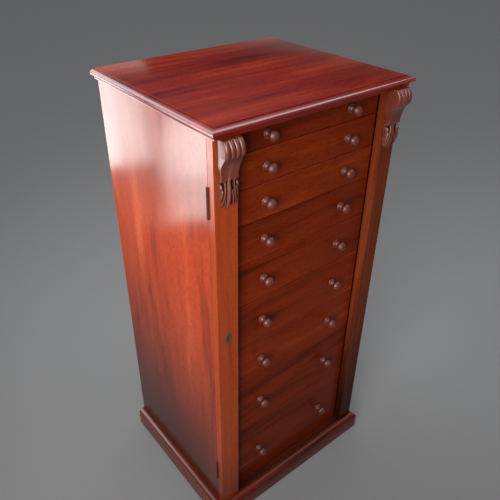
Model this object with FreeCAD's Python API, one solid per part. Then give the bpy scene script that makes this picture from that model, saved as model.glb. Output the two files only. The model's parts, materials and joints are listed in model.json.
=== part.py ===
"""A wellington chest: a tall narrow chest of nine graduated drawers beside one hinged locking flap.

Millimetres. +X is the viewer's right, -Y is the front and +Z is up. The origin lies on the floor, at the
middle of the whole chest's outline. Each named piece is written to parts/ as a STEP file of its own.
"""
import math
import os

import FreeCAD
import Part

Vector = FreeCAD.Vector

# Carcass
CARCASS_WIDTH = 530.0
CARCASS_DEPTH = 453.0
SIDE_THICKNESS = 20.0
BACK_THICKNESS = 10.0
BACK_REBATE = 10.0
BACK_BOARDS = 3
BACK_CHAMFER = 1.5
BOTTOM_THICKNESS = 16.0
BOTTOM_HOUSING = 8.0

# Drawer heights from the top one down, line to line
DRAWER_PITCHES = [60.0, 78.0, 84.0, 102.0, 114.0, 132.0, 132.0, 174.0, 238.0]

# Top board and its moulded edge, from the field outwards and downwards
TOP_THICKNESS = 24.0
TOP_SIDE_OVERHANG = 14.5
TOP_FRONT_OVERHANG = 22.0
TOP_BACK_OVERHANG = 6.0
TOP_MARGIN = 15.0
TOP_QUIRK = 1.6
TOP_QUIRK_FLAT = 1.5
TOP_OVOLO_DROP = 7.0
TOP_FILLET = 3.8
TOP_COVE_STEP = 1.5
TOP_COVE_REACH = 8.0

# Plinth and what stands behind it
PLINTH_HEIGHT = 62.0
PLINTH_THICKNESS = 20.0
PLINTH_FRONT_PROJECTION = 16.0
PLINTH_LEDGE = 3.0
PLINTH_QUIRK = 1.6
PLINTH_THUMB = 14.0
PLINTH_BACK_THICKNESS = 16.0
BLOCK_LEG = 34.0

# Locking flap and right stile
FLAP_WIDTH = 57.0
STILE_WIDTH = 48.0
STILE_THICKNESS = 20.0
STILE_ROUNDING = 1.2
FLAP_GAP = 1.0
FLAP_CLEARANCE = 1.2

# Carved corbels
CORBEL_WIDTH = 45.0
CORBEL_HEIGHT = 145.0
CORBEL_PROJECTION = 34.0
CORBEL_REEDS = 4
REED_DEPTH = 5.5
LEAF_HEIGHT = 66.0
LEAF_LAP = 5.0
LEAF_PROJECTION = 15.5
LEAF_LOBE_DEPTH = 3.0
LOBE_FACETS = 4

# Guide posts and drawer runners
POST_DEPTH = 40.0
RUNNER_HEIGHT = 9.0
RUNNER_HOUSING = 12.0
RUNNER_TONGUE = 5.0
RUNNER_RISE = 20.0
RUNNER_CLEARANCE = 0.3
RUNNER_STOP = 0.5

# Drawers
DRAWER_CLEARANCE = 1.0
DRAWER_LINE = 1.5
FRONT_THICKNESS = 20.0
FRONT_CHAMFER = 0.8
DRAWER_SIDE_THICKNESS = 11.0
DRAWER_BACK_THICKNESS = 9.0
DRAWER_BACK_HOUSING = 3.0
DRAWER_BACK_SPACE = 6.0
DRAWER_SIDE_RISE = 2.0
DRAWER_SIDE_DROP = 5.0
DRAWER_BACK_DROP = 3.0
PANEL_THICKNESS = 6.0
PANEL_RISE = 6.0
PANEL_TONGUE = 4.0
DOVETAIL_LAP = 6.0
DOVETAIL_PITCH = 38.0
DOVETAIL_NECK_SHARE = 0.5
DOVETAIL_SLOPE = 1.0 / 6.0

# Turned knobs
KNOB_SPREAD = 240.0
KNOB_HEAD_RADIUS = 12.0
KNOB_COLLAR_RADIUS = 8.5
KNOB_COLLAR_LENGTH = 3.0
KNOB_WAIST_RADIUS = 5.6
KNOB_WAIST_START = 5.0
KNOB_FLARE_RADIUS = 7.5
KNOB_NECK_LENGTH = 10.0
KNOB_HEAD_LENGTH = 14.0
KNOB_UNDERSIDE = 3.0
KNOB_RIM = 1.5
KNOB_DOME_STEPS = 2
KNOB_TIP_ANGLE = 80.0
KNOB_FLATS = 12
KNOB_SPIGOT_RADIUS = 5.0

# Butt hinges of the flap
HINGES = 2
HINGE_LENGTH = 70.0
HINGE_INSET = 138.0
HINGE_PROUD = 1.5
HINGE_LEAF_REACH = 17.5
HINGE_LEAF_THICKNESS = 1.6
KNUCKLES = 3
KNUCKLE_RADIUS = 3.0
KNUCKLE_GAP = 0.3
KNUCKLE_RELIEF = 0.5
PIN_RADIUS = 1.5
PIN_CLEARANCE = 0.05

# Lock, its hook bolt, strike plate and escutcheon
LOCK_ABOVE_MIDDLE = 68.0
LOCK_WIDTH = 36.0
LOCK_TALL = 50.0
LOCK_DEPTH = 12.0
LOCK_WALL = 1.5
BOLT_CLEARANCE = 0.3
BOLT_PLATE_TALL = 26.0
BOLT_PLATE_THICKNESS = 3.0
HOOK_WIDTH = 4.0
HOOK_NECK_TALL = 8.0
HOOK_NIB_TALL = 5.0
HOOK_NIB_THICKNESS = 3.5
HOOK_ROOM = 2.0
BOLT_TRAVEL = 5.0
STRIKE_WIDTH = 16.0
STRIKE_TALL = 46.0
STRIKE_THICKNESS = 2.0
ESCUTCHEON_WIDTH = 18.0
ESCUTCHEON_TALL = 34.0
ESCUTCHEON_THICKNESS = 1.6
KEYHOLE_RADIUS = 2.6
KEYHOLE_SLOT_WIDTH = 2.8
KEYHOLE_SLOT_TALL = 8.0

# Places worked out from the sizes above
HALF_WIDTH = CARCASS_WIDTH / 2
UNDER_TOP = PLINTH_HEIGHT + sum(DRAWER_PITCHES)
FRONT_REACH = max(CORBEL_PROJECTION, TOP_FRONT_OVERHANG, PLINTH_FRONT_PROJECTION)
OUTLINE_DEPTH = FRONT_REACH + CARCASS_DEPTH + TOP_BACK_OVERHANG
FLAP_FRONT = FRONT_REACH - OUTLINE_DEPTH / 2
FLAP_BACK = FLAP_FRONT + STILE_THICKNESS
FACE_PLANE = FLAP_BACK + FLAP_GAP
BACK_PLANE = FLAP_FRONT + CARCASS_DEPTH
BACK_INNER = BACK_PLANE - BACK_THICKNESS
SIDE_INNER = HALF_WIDTH - SIDE_THICKNESS
FLAP_INNER = HALF_WIDTH - FLAP_WIDTH
FLAP_MIDDLE = HALF_WIDTH - FLAP_WIDTH / 2
STILE_INNER = HALF_WIDTH - STILE_WIDTH
STILE_MIDDLE = HALF_WIDTH - STILE_WIDTH / 2
DRAWER_LEFT = DRAWER_CLEARANCE - FLAP_INNER
DRAWER_RIGHT = STILE_INNER - DRAWER_CLEARANCE
DRAWER_MIDDLE = (DRAWER_LEFT + DRAWER_RIGHT) / 2
BOTTOM_UNDER = PLINTH_HEIGHT - BOTTOM_THICKNESS
BASE_RAIL_FRONT = FLAP_FRONT - PLINTH_FRONT_PROJECTION + PLINTH_THICKNESS
FLAP_FOOT = PLINTH_HEIGHT + FLAP_CLEARANCE
FLAP_HEAD = UNDER_TOP - FLAP_CLEARANCE
LOCK_HEIGHT = (FLAP_FOOT + FLAP_HEAD) / 2 + LOCK_ABOVE_MIDDLE
FRONT_BACK = FACE_PLANE + FRONT_THICKNESS
DRAWER_END = BACK_INNER - DRAWER_BACK_SPACE
HINGE_X = -HALF_WIDTH - HINGE_PROUD
HINGE_Y = FLAP_BACK + FLAP_GAP / 2


def block(low, high):
    """A rectangular solid between two corners."""
    size = [b - a for a, b in zip(low, high)]
    return Part.makeBox(*size, Vector(*low))


def face_of(edges):
    """A flat face inside a closed run of edges."""
    return Part.Face(Part.Wire(edges))


def line(start, end):
    """A straight edge between two points."""
    return Part.makeLine(start, end)


def arc(start, middle, end):
    """A circular edge through three points."""
    return Part.Arc(start, middle, end).toShape()


def polygon(points):
    """A flat face with straight edges through the points."""
    return Part.Face(Part.makePolygon(points + points[:1]))


def skinned(rings):
    """A closed solid between rings of as many points each, with three-cornered faces and flat ends."""
    faces = [polygon(rings[0]), polygon(rings[-1])]
    for ring, following in zip(rings, rings[1:]):
        for number in range(len(ring)):
            after = (number + 1) % len(ring)
            faces.append(polygon([ring[number], ring[after], following[after]]))
            faces.append(polygon([ring[number], following[after], following[number]]))
    return Part.Solid(Part.Shell(faces))


def quarter(start, end, hollow):
    """The middle point of a near-quarter arc between two points, bulging away from or towards the solid.

    Both points and the result are (outwards, up) pairs, and hollow is +1 for a cove and -1 for a round.
    """
    bulge = math.tan(math.pi / 8) / 2
    across = (end[0] - start[0], end[1] - start[1])
    middle = ((start[0] + end[0]) / 2, (start[1] + end[1]) / 2)
    return (middle[0] + hollow * bulge * across[1], middle[1] - hollow * bulge * across[0])


def moulding_edges(place, steps):
    """Edges through (outwards, up) points, where a step is a point or a (hollow, point) arc."""
    edges = []
    here = steps[0]
    for step in steps[1:]:
        if isinstance(step[1], tuple):
            hollow, there = step
            middle = quarter(here, there, hollow)
            edges.append(arc(place(here), place(middle), place(there)))
        else:
            there = step
            edges.append(line(place(here), place(there)))
        here = there
    return edges


def mirrored(shape, middle=0.0):
    """The same shape on the other side of an upright plane, by default the chest's middle one."""
    return shape.mirror(Vector(middle, 0, 0), Vector(1, 0, 0))


def top_edge_steps():
    """The top board's moulded edge from its field to its underside, measured from the widest line."""
    top = TOP_THICKNESS
    quirk = top - TOP_QUIRK
    ovolo = quirk - TOP_OVOLO_DROP
    fillet = ovolo - TOP_FILLET
    shoulder = -TOP_MARGIN + TOP_QUIRK_FLAT
    cove_top = -TOP_COVE_STEP
    return [(-TOP_MARGIN, top), (-TOP_MARGIN, quirk), (shoulder, quirk), (-1, (0, ovolo)), (0, fillet),
            (cove_top, fillet), (1, (cove_top - TOP_COVE_REACH, 0))]


def top_board():
    """The top board: its edge profile run across the front and along both sides, meeting in mitres."""
    reach_x = HALF_WIDTH + TOP_SIDE_OVERHANG
    front = FLAP_FRONT - TOP_FRONT_OVERHANG
    back = BACK_PLANE + TOP_BACK_OVERHANG
    steps = top_edge_steps()

    def on_left(point):
        return Vector(-reach_x - point[0], front, UNDER_TOP + point[1])

    def on_right(point):
        return Vector(reach_x + point[0], front, UNDER_TOP + point[1])

    def on_front(point):
        return Vector(-reach_x, front - point[0], UNDER_TOP + point[1])

    across = moulding_edges(on_left, steps) + moulding_edges(on_right, steps)
    across.append(line(on_left(steps[0]), on_right(steps[0])))
    across.append(line(on_left(steps[-1][1]), on_right(steps[-1][1])))
    lengthwise = face_of(Part.__sortEdges__(across)).extrude(Vector(0, back - front, 0))
    back_top = Vector(-reach_x, back, UNDER_TOP + TOP_THICKNESS)
    back_foot = Vector(-reach_x, back, UNDER_TOP)
    along = moulding_edges(on_front, steps)
    along += [line(on_front(steps[0]), back_top), line(back_top, back_foot)]
    along.append(line(back_foot, on_front(steps[-1][1])))
    crosswise = face_of(Part.__sortEdges__(along)).extrude(Vector(2 * reach_x, 0, 0))
    return lengthwise.common(crosswise)


def left_side():
    """The left side panel, rebated for the back boards and housed for the bottom board."""
    panel = block((-HALF_WIDTH, FACE_PLANE, 0), (-SIDE_INNER, BACK_PLANE, UNDER_TOP))
    outer = -SIDE_INNER - BACK_REBATE
    rebate = block((outer, BACK_INNER, BOTTOM_UNDER), (-SIDE_INNER, BACK_PLANE, UNDER_TOP))
    return panel.cut(rebate).cut(bottom_board())


def bottom_board():
    """The bottom board, housed in both sides."""
    reach = SIDE_INNER + BOTTOM_HOUSING
    return block((-reach, FACE_PLANE, BOTTOM_UNDER), (reach, BACK_INNER, PLINTH_HEIGHT))


def back_boards():
    """Upright back boards in the sides' rebates, with a chamfered line at each joint."""
    reach = SIDE_INNER + BACK_REBATE
    width = 2 * reach / BACK_BOARDS
    boards = []
    for number in range(BACK_BOARDS):
        left = -reach + number * width
        right = left + width
        outline = [(left, BACK_INNER), (right, BACK_INNER), (right, BACK_PLANE - BACK_CHAMFER),
                   (right - BACK_CHAMFER, BACK_PLANE), (left + BACK_CHAMFER, BACK_PLANE),
                   (left, BACK_PLANE - BACK_CHAMFER)]
        face = polygon([Vector(x, y, BOTTOM_UNDER) for x, y in outline])
        boards.append(face.extrude(Vector(0, 0, UNDER_TOP - BOTTOM_UNDER)))
    return Part.makeCompound(boards)


def plinth_section(place):
    """The plinth board's section: a flat face below a thumb moulding, a quirk and a narrow ledge."""
    ledge = -PLINTH_THICKNESS + PLINTH_LEDGE
    quirk = PLINTH_HEIGHT - PLINTH_QUIRK
    foot = quirk - PLINTH_THUMB
    steps = [(-PLINTH_THICKNESS, 0), (-PLINTH_THICKNESS, PLINTH_HEIGHT), (ledge, PLINTH_HEIGHT),
             (ledge, quirk), (-1, (0, foot)), (0, 0), (-PLINTH_THICKNESS, 0)]
    return face_of(moulding_edges(place, steps))


def plinth_front():
    """The plinth's front board, mitred at both ends."""
    outer = HALF_WIDTH + PLINTH_THICKNESS
    front = FLAP_FRONT - PLINTH_FRONT_PROJECTION

    def place(point):
        return Vector(-outer, front - point[0], point[1])

    board = plinth_section(place).extrude(Vector(2 * outer, 0, 0))
    return board.cut(mitre_waste()).cut(mirrored(mitre_waste()))


def mitre_waste():
    """What the left mitre takes off the plinth's front board."""
    outer = HALF_WIDTH + PLINTH_THICKNESS
    front = FLAP_FRONT - PLINTH_FRONT_PROJECTION
    corners = [(-outer, front), (-HALF_WIDTH, BASE_RAIL_FRONT), (-outer, BASE_RAIL_FRONT)]
    return polygon([Vector(x, y, 0) for x, y in corners]).extrude(Vector(0, 0, PLINTH_HEIGHT))


def plinth_left():
    """The plinth's left board: its front end is the mitre that the front board leaves."""
    outer = HALF_WIDTH + PLINTH_THICKNESS
    front = FLAP_FRONT - PLINTH_FRONT_PROJECTION

    def place(point):
        return Vector(-outer - point[0], front, point[1])

    board = plinth_section(place).extrude(Vector(0, BACK_PLANE - front, 0))
    corners = [(-outer, front), (-HALF_WIDTH, front), (-HALF_WIDTH, BASE_RAIL_FRONT)]
    waste = polygon([Vector(x, y, 0) for x, y in corners]).extrude(Vector(0, 0, PLINTH_HEIGHT))
    return board.cut(waste)


def base_rail():
    """The rail under the flap and stile that closes the carcass behind the plinth's front board."""
    return block((-HALF_WIDTH, BASE_RAIL_FRONT, 0), (HALF_WIDTH, FACE_PLANE, PLINTH_HEIGHT))


def plinth_back():
    """The board that closes the base between the sides at the back."""
    return block((-SIDE_INNER, BACK_PLANE - PLINTH_BACK_THICKNESS, 0), (SIDE_INNER, BACK_PLANE, BOTTOM_UNDER))


def plinth_blocks():
    """Four three-cornered glue blocks under the bottom board."""
    blocks = []
    for corner_y, inwards in ((FACE_PLANE, 1), (BACK_PLANE - PLINTH_BACK_THICKNESS, -1)):
        corners = [(-SIDE_INNER, corner_y), (-SIDE_INNER + BLOCK_LEG, corner_y),
                   (-SIDE_INNER, corner_y + inwards * BLOCK_LEG)]
        left = polygon([Vector(x, y, 0) for x, y in corners]).extrude(Vector(0, 0, BOTTOM_UNDER))
        blocks += [left, mirrored(left)]
    return Part.makeCompound(blocks)


def rounded_board(low, high, rounding):
    """An upright board whose two long front edges are rounded."""
    board = block(low, high)
    front_edges = []
    for edge in board.Edges:
        start, end = [vertex.Point for vertex in edge.Vertexes]
        upright = abs(start.z - end.z) > (high[2] - low[2]) / 2
        if upright and abs(start.y - low[1]) < rounding / 2:
            front_edges.append(edge)
    return board.makeFillet(rounding, front_edges)


def right_stile():
    """The fixed stile glued to the right side's front edge."""
    low = (STILE_INNER, FLAP_FRONT, PLINTH_HEIGHT)
    return rounded_board(low, (HALF_WIDTH, FACE_PLANE, UNDER_TOP), STILE_ROUNDING)


def lobed_section(height, half_width, projection, depth, lobe_edges):
    """A level outline with a flat back on the stile and a front of rounded lobes between sunk lines."""
    crest = FLAP_FRONT - projection
    points = [Vector(-half_width, FLAP_FRONT, height)]
    for start, end in zip(lobe_edges, lobe_edges[1:]):
        for step in range(LOBE_FACETS):
            share = step / LOBE_FACETS
            x = half_width * (start + (end - start) * share)
            points.append(Vector(x, crest + depth * (1 - math.sin(math.pi * share)), height))
    return points + [Vector(half_width, crest + depth, height), Vector(half_width, FLAP_FRONT, height)]


def corbel(head):
    """A carved corbel on the chest's middle plane, hanging from a height: a reeded scroll over a leaf.

    The scroll is skinned over level outlines. Each is (share of the scroll's height below its head, share
    of the projection, share of the reeds' depth). The leaf's outlines also carry a share of the width.
    """
    half = CORBEL_WIDTH / 2
    scroll_height = CORBEL_HEIGHT - LEAF_HEIGHT + LEAF_LAP
    scroll = [(0.0, 0.71, 0.8), (0.06, 0.87, 1.0), (0.14, 0.97, 1.0), (0.24, 1.0, 1.0), (0.34, 0.96, 1.0),
              (0.43, 0.86, 0.9), (0.51, 0.71, 0.5), (0.58, 0.55, 0.2), (0.67, 0.43, 0.1), (0.78, 0.35, 0.1),
              (1.0, 0.31, 0.1)]
    reeds = [2 * number / CORBEL_REEDS - 1 for number in range(CORBEL_REEDS + 1)]
    outlines = [lobed_section(head - share * scroll_height, half, out * CORBEL_PROJECTION,
                              cut * REED_DEPTH, reeds) for share, out, cut in scroll]
    body = skinned(outlines)
    leaf_head = head - CORBEL_HEIGHT + LEAF_HEIGHT
    leaf = [(0.0, 0.78, 0.7, 0.94), (0.06, 0.96, 0.9, 1.0), (0.15, 1.0, 1.0, 1.0), (0.3, 0.88, 1.0, 0.93),
            (0.5, 0.76, 1.0, 0.88), (0.7, 0.62, 1.0, 0.74), (0.87, 0.42, 0.7, 0.52), (1.0, 0.2, 0.25, 0.26)]
    lobes = [-1.0, -0.66, -0.28, 0.28, 0.66, 1.0]
    outlines = [lobed_section(leaf_head - share * LEAF_HEIGHT, half * wide, out * LEAF_PROJECTION,
                              cut * LEAF_LOBE_DEPTH, lobes) for share, out, cut, wide in leaf]
    return body.fuse(skinned(outlines)).removeSplitter()


def runner_low(number):
    """The underside of the runner that carries a drawer, counted from the top drawer."""
    return drawer_low(number) + DRAWER_SIDE_RISE + RUNNER_RISE


def drawer_low(number):
    """The line below a drawer, counted from the top drawer."""
    return UNDER_TOP - sum(DRAWER_PITCHES[:number + 1])


def left_runners():
    """The left runners: a strip per drawer, housed in the posts and standing out into the drawer's groove."""
    outer = -FLAP_INNER - RUNNER_HOUSING
    inner = DRAWER_LEFT + RUNNER_TONGUE
    start = FRONT_BACK + RUNNER_STOP
    strips = []
    for number in range(len(DRAWER_PITCHES)):
        low = runner_low(number)
        strips.append(block((outer, start, low), (inner, BACK_INNER, low + RUNNER_HEIGHT)))
    return Part.makeCompound(strips)


def right_runners():
    """The right runners, the left ones' twins on the other side of the drawers."""
    return mirrored(left_runners(), DRAWER_MIDDLE)


def left_post(front):
    """A guide post between the left side and the drawers, housed for the runners."""
    post = block((-SIDE_INNER, front, PLINTH_HEIGHT), (-FLAP_INNER, front + POST_DEPTH, UNDER_TOP))
    return post.cut(left_runners())


def right_post(front):
    """A guide post between the right side and the drawers, housed for the runners."""
    post = block((STILE_INNER, front, PLINTH_HEIGHT), (SIDE_INNER, front + POST_DEPTH, UNDER_TOP))
    return post.cut(right_runners())


def striking_post():
    """The left front post, with the strike plate's seat and the hook's mortise."""
    return left_post(FACE_PLANE).cut(strike_blank()).cut(hook_mortise())


def locking_flap():
    """The flap: a rounded board with gains for its hinges, a pocket for the lock and a keyhole."""
    low = (-HALF_WIDTH, FLAP_FRONT, FLAP_FOOT)
    board = rounded_board(low, (-FLAP_INNER, FLAP_BACK, FLAP_HEAD), STILE_ROUNDING)
    for height in hinge_heights():
        board = board.cut(leaf_gain(height, FLAP_BACK - HINGE_LEAF_THICKNESS)).cut(knuckle_relief(height))
    return board.cut(lock_blank()).cut(keyhole(FLAP_FRONT, FLAP_BACK)).cut(escutcheon_blank())


def hinge_heights():
    """The middle heights of the hinges, spread evenly between the two end ones."""
    low = FLAP_FOOT + HINGE_INSET
    high = FLAP_HEAD - HINGE_INSET
    return [low + (high - low) * number / (HINGES - 1) for number in range(HINGES)]


def leaf_gain(height, front):
    """The shallow seat that a hinge leaf lies in, starting at a depth."""
    low = (-HALF_WIDTH, front, height - HINGE_LENGTH / 2)
    high = (HINGE_X + HINGE_LEAF_REACH, front + HINGE_LEAF_THICKNESS, height + HINGE_LENGTH / 2)
    return block(low, high)


def upright_cylinder(radius, low, high):
    """A cylinder on the hinge line between two heights."""
    return Part.makeCylinder(radius, high - low, Vector(HINGE_X, HINGE_Y, low))


def knuckle_relief(height):
    """The hollow that clears a hinge's knuckles."""
    reach = HINGE_LENGTH / 2
    return upright_cylinder(KNUCKLE_RADIUS + KNUCKLE_RELIEF, height - reach, height + reach)


def hinge_leaf(height, front, first):
    """A hinge leaf that starts at a depth and carries every second knuckle from the first one given."""
    foot = height - HINGE_LENGTH / 2
    plate_left = HINGE_X + KNUCKLE_RADIUS + KNUCKLE_RELIEF
    leaf = block((plate_left, front, foot),
                 (HINGE_X + HINGE_LEAF_REACH, front + HINGE_LEAF_THICKNESS, foot + HINGE_LENGTH))
    length = (HINGE_LENGTH - (KNUCKLES - 1) * KNUCKLE_GAP) / KNUCKLES
    for number in range(first, KNUCKLES, 2):
        low = foot + number * (length + KNUCKLE_GAP)
        web = block((HINGE_X, front, low), (plate_left, front + HINGE_LEAF_THICKNESS, low + length))
        leaf = leaf.fuse(web).fuse(upright_cylinder(KNUCKLE_RADIUS, low, low + length))
    bore = upright_cylinder(PIN_RADIUS + PIN_CLEARANCE, foot, foot + HINGE_LENGTH)
    return leaf.cut(bore).removeSplitter()


def hinge_pins():
    """The pins that the knuckles turn on."""
    reach = HINGE_LENGTH / 2
    return Part.makeCompound([upright_cylinder(PIN_RADIUS, height - reach, height + reach)
                              for height in hinge_heights()])


def hinged_left_side():
    """The left side panel with the gains for the hinges in its front edge."""
    panel = left_side()
    for height in hinge_heights():
        panel = panel.cut(leaf_gain(height, FACE_PLANE)).cut(knuckle_relief(height))
    return panel


def lock_blank():
    """The space that the lock case fills, let in flush with the flap's back."""
    half = LOCK_WIDTH / 2
    low = (-FLAP_MIDDLE - half, FLAP_BACK - LOCK_DEPTH, LOCK_HEIGHT - LOCK_TALL / 2)
    high = (-FLAP_MIDDLE + half, FLAP_BACK, LOCK_HEIGHT + LOCK_TALL / 2)
    return block(low, high)


def hook_slot(front, back, width, reach_up):
    """A slot for the hook's neck between two depths, from under the resting neck up to its raised place."""
    low = LOCK_HEIGHT - HOOK_NECK_TALL / 2 - BOLT_CLEARANCE
    high = LOCK_HEIGHT + HOOK_NECK_TALL / 2 + reach_up + BOLT_CLEARANCE
    return block((-FLAP_MIDDLE - width / 2, front, low), (-FLAP_MIDDLE + width / 2, back, high))


def lock_case():
    """The lock's brass case: a hollow box with a keyhole in front and a slot for the hook behind."""
    blank = lock_blank()
    bounds = blank.BoundBox
    low = (bounds.XMin + LOCK_WALL, bounds.YMin + LOCK_WALL, bounds.ZMin + LOCK_WALL)
    high = (bounds.XMax - LOCK_WALL, bounds.YMax - LOCK_WALL, bounds.ZMax - LOCK_WALL)
    slot = hook_slot(FLAP_BACK - LOCK_WALL, FLAP_BACK, HOOK_WIDTH + 2 * BOLT_CLEARANCE, BOLT_TRAVEL)
    return blank.cut(block(low, high)).cut(slot).cut(keyhole(FLAP_FRONT, FLAP_BACK - LOCK_DEPTH / 2))


def lock_bolt():
    """The hook bolt at rest, unlocked: a plate inside the case, a neck through its back and a rising nib."""
    plate_back = FLAP_BACK - LOCK_WALL - BOLT_CLEARANCE
    half = LOCK_WIDTH / 2 - LOCK_WALL - BOLT_CLEARANCE
    middle = LOCK_HEIGHT
    plate = block((-FLAP_MIDDLE - half, plate_back - BOLT_PLATE_THICKNESS, middle - BOLT_PLATE_TALL / 2),
                  (-FLAP_MIDDLE + half, plate_back, middle + BOLT_PLATE_TALL / 2))
    nib_front = FACE_PLANE + STRIKE_THICKNESS + BOLT_CLEARANCE
    nib_back = nib_front + HOOK_NIB_THICKNESS
    neck_low = middle - HOOK_NECK_TALL / 2
    neck_high = middle + HOOK_NECK_TALL / 2
    outline = [(plate_back, neck_low), (nib_back, neck_low), (nib_back, neck_high + HOOK_NIB_TALL / 2),
               (nib_front, neck_high + HOOK_NIB_TALL), (nib_front, neck_high), (plate_back, neck_high)]
    face = polygon([Vector(-FLAP_MIDDLE - HOOK_WIDTH / 2, y, z) for y, z in outline])
    return plate.fuse(face.extrude(Vector(HOOK_WIDTH, 0, 0))).removeSplitter()


def strike_blank():
    """The space that the strike plate fills, let in flush with the post's front."""
    half = STRIKE_WIDTH / 2
    low = (-FLAP_MIDDLE - half, FACE_PLANE, LOCK_HEIGHT - STRIKE_TALL / 2)
    high = (-FLAP_MIDDLE + half, FACE_PLANE + STRIKE_THICKNESS, LOCK_HEIGHT + STRIKE_TALL / 2)
    return block(low, high)


def strike_plate():
    """The brass strike plate with its slot for the hook."""
    width = HOOK_WIDTH + 2 * HOOK_ROOM
    slot = hook_slot(FACE_PLANE, FACE_PLANE + STRIKE_THICKNESS, width, HOOK_NIB_TALL)
    return strike_blank().cut(slot)


def hook_mortise():
    """The hollow in the post where the nib rises behind the strike plate."""
    width = HOOK_WIDTH + 2 * HOOK_ROOM
    back = FACE_PLANE + STRIKE_THICKNESS + HOOK_NIB_THICKNESS + HOOK_ROOM
    return hook_slot(FACE_PLANE + STRIKE_THICKNESS, back, width, HOOK_NIB_TALL + BOLT_TRAVEL)


def keyhole(front, back):
    """A keyhole bored between two depths: a round hole over a slot."""
    middle = LOCK_HEIGHT + KEYHOLE_SLOT_TALL / 2
    centre = Vector(-FLAP_MIDDLE, front, middle)
    hole = Part.makeCylinder(KEYHOLE_RADIUS, back - front, centre, Vector(0, 1, 0))
    half = KEYHOLE_SLOT_WIDTH / 2
    slot = block((-FLAP_MIDDLE - half, front, middle - KEYHOLE_SLOT_TALL),
                 (-FLAP_MIDDLE + half, back, middle))
    return hole.fuse(slot)


def oval(depth, back):
    """An upright oval plate, its face turned to the front."""
    ellipse = Part.Ellipse(Vector(0, 0, 0), ESCUTCHEON_TALL / 2, ESCUTCHEON_WIDTH / 2)
    face = face_of([ellipse.toShape()])
    face.rotate(Vector(0, 0, 0), Vector(0, 0, 1), 90)
    face.rotate(Vector(0, 0, 0), Vector(1, 0, 0), 90)
    face.translate(Vector(-FLAP_MIDDLE, back, LOCK_HEIGHT))
    return face.extrude(Vector(0, -depth, 0))


def escutcheon_blank():
    """The shallow seat that the escutcheon is let into."""
    return oval(ESCUTCHEON_THICKNESS / 2, FLAP_FRONT + ESCUTCHEON_THICKNESS / 2)


def escutcheon():
    """The oval keyhole plate, half let in."""
    plate = oval(ESCUTCHEON_THICKNESS, FLAP_FRONT + ESCUTCHEON_THICKNESS / 2)
    return plate.cut(keyhole(FLAP_FRONT - ESCUTCHEON_THICKNESS, FLAP_BACK))


def knob_ring(x, height, out, radius):
    """The corners of a ring of flats round a knob's axis, at a distance out from the drawers' faces."""
    corners = []
    for number in range(KNOB_FLATS):
        angle = 2 * math.pi * number / KNOB_FLATS
        across = radius * math.cos(angle)
        upwards = radius * math.sin(angle)
        corners.append(Vector(x + across, FACE_PLANE - out, height + upwards))
    return corners


def knob(x, height):
    """A turned knob in narrow flats: a spigot behind a collar, a waisted neck and a mushroom head."""
    neck_end = KNOB_COLLAR_LENGTH + KNOB_NECK_LENGTH
    rim_low = neck_end + KNOB_UNDERSIDE
    rim_high = rim_low + KNOB_RIM
    dome = KNOB_HEAD_LENGTH - KNOB_UNDERSIDE - KNOB_RIM
    outline = [(-FRONT_THICKNESS, KNOB_SPIGOT_RADIUS), (0, KNOB_SPIGOT_RADIUS), (0, KNOB_COLLAR_RADIUS),
               (KNOB_COLLAR_LENGTH, KNOB_COLLAR_RADIUS),
               (KNOB_COLLAR_LENGTH + KNOB_WAIST_START, KNOB_WAIST_RADIUS), (neck_end, KNOB_FLARE_RADIUS),
               (rim_low, KNOB_HEAD_RADIUS)]
    for step in range(KNOB_DOME_STEPS + 1):
        angle = math.radians(KNOB_TIP_ANGLE * step / KNOB_DOME_STEPS)
        outline.append((rim_high + dome * math.sin(angle), KNOB_HEAD_RADIUS * math.cos(angle)))
    return skinned([knob_ring(x, height, out, radius) for out, radius in outline])


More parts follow.
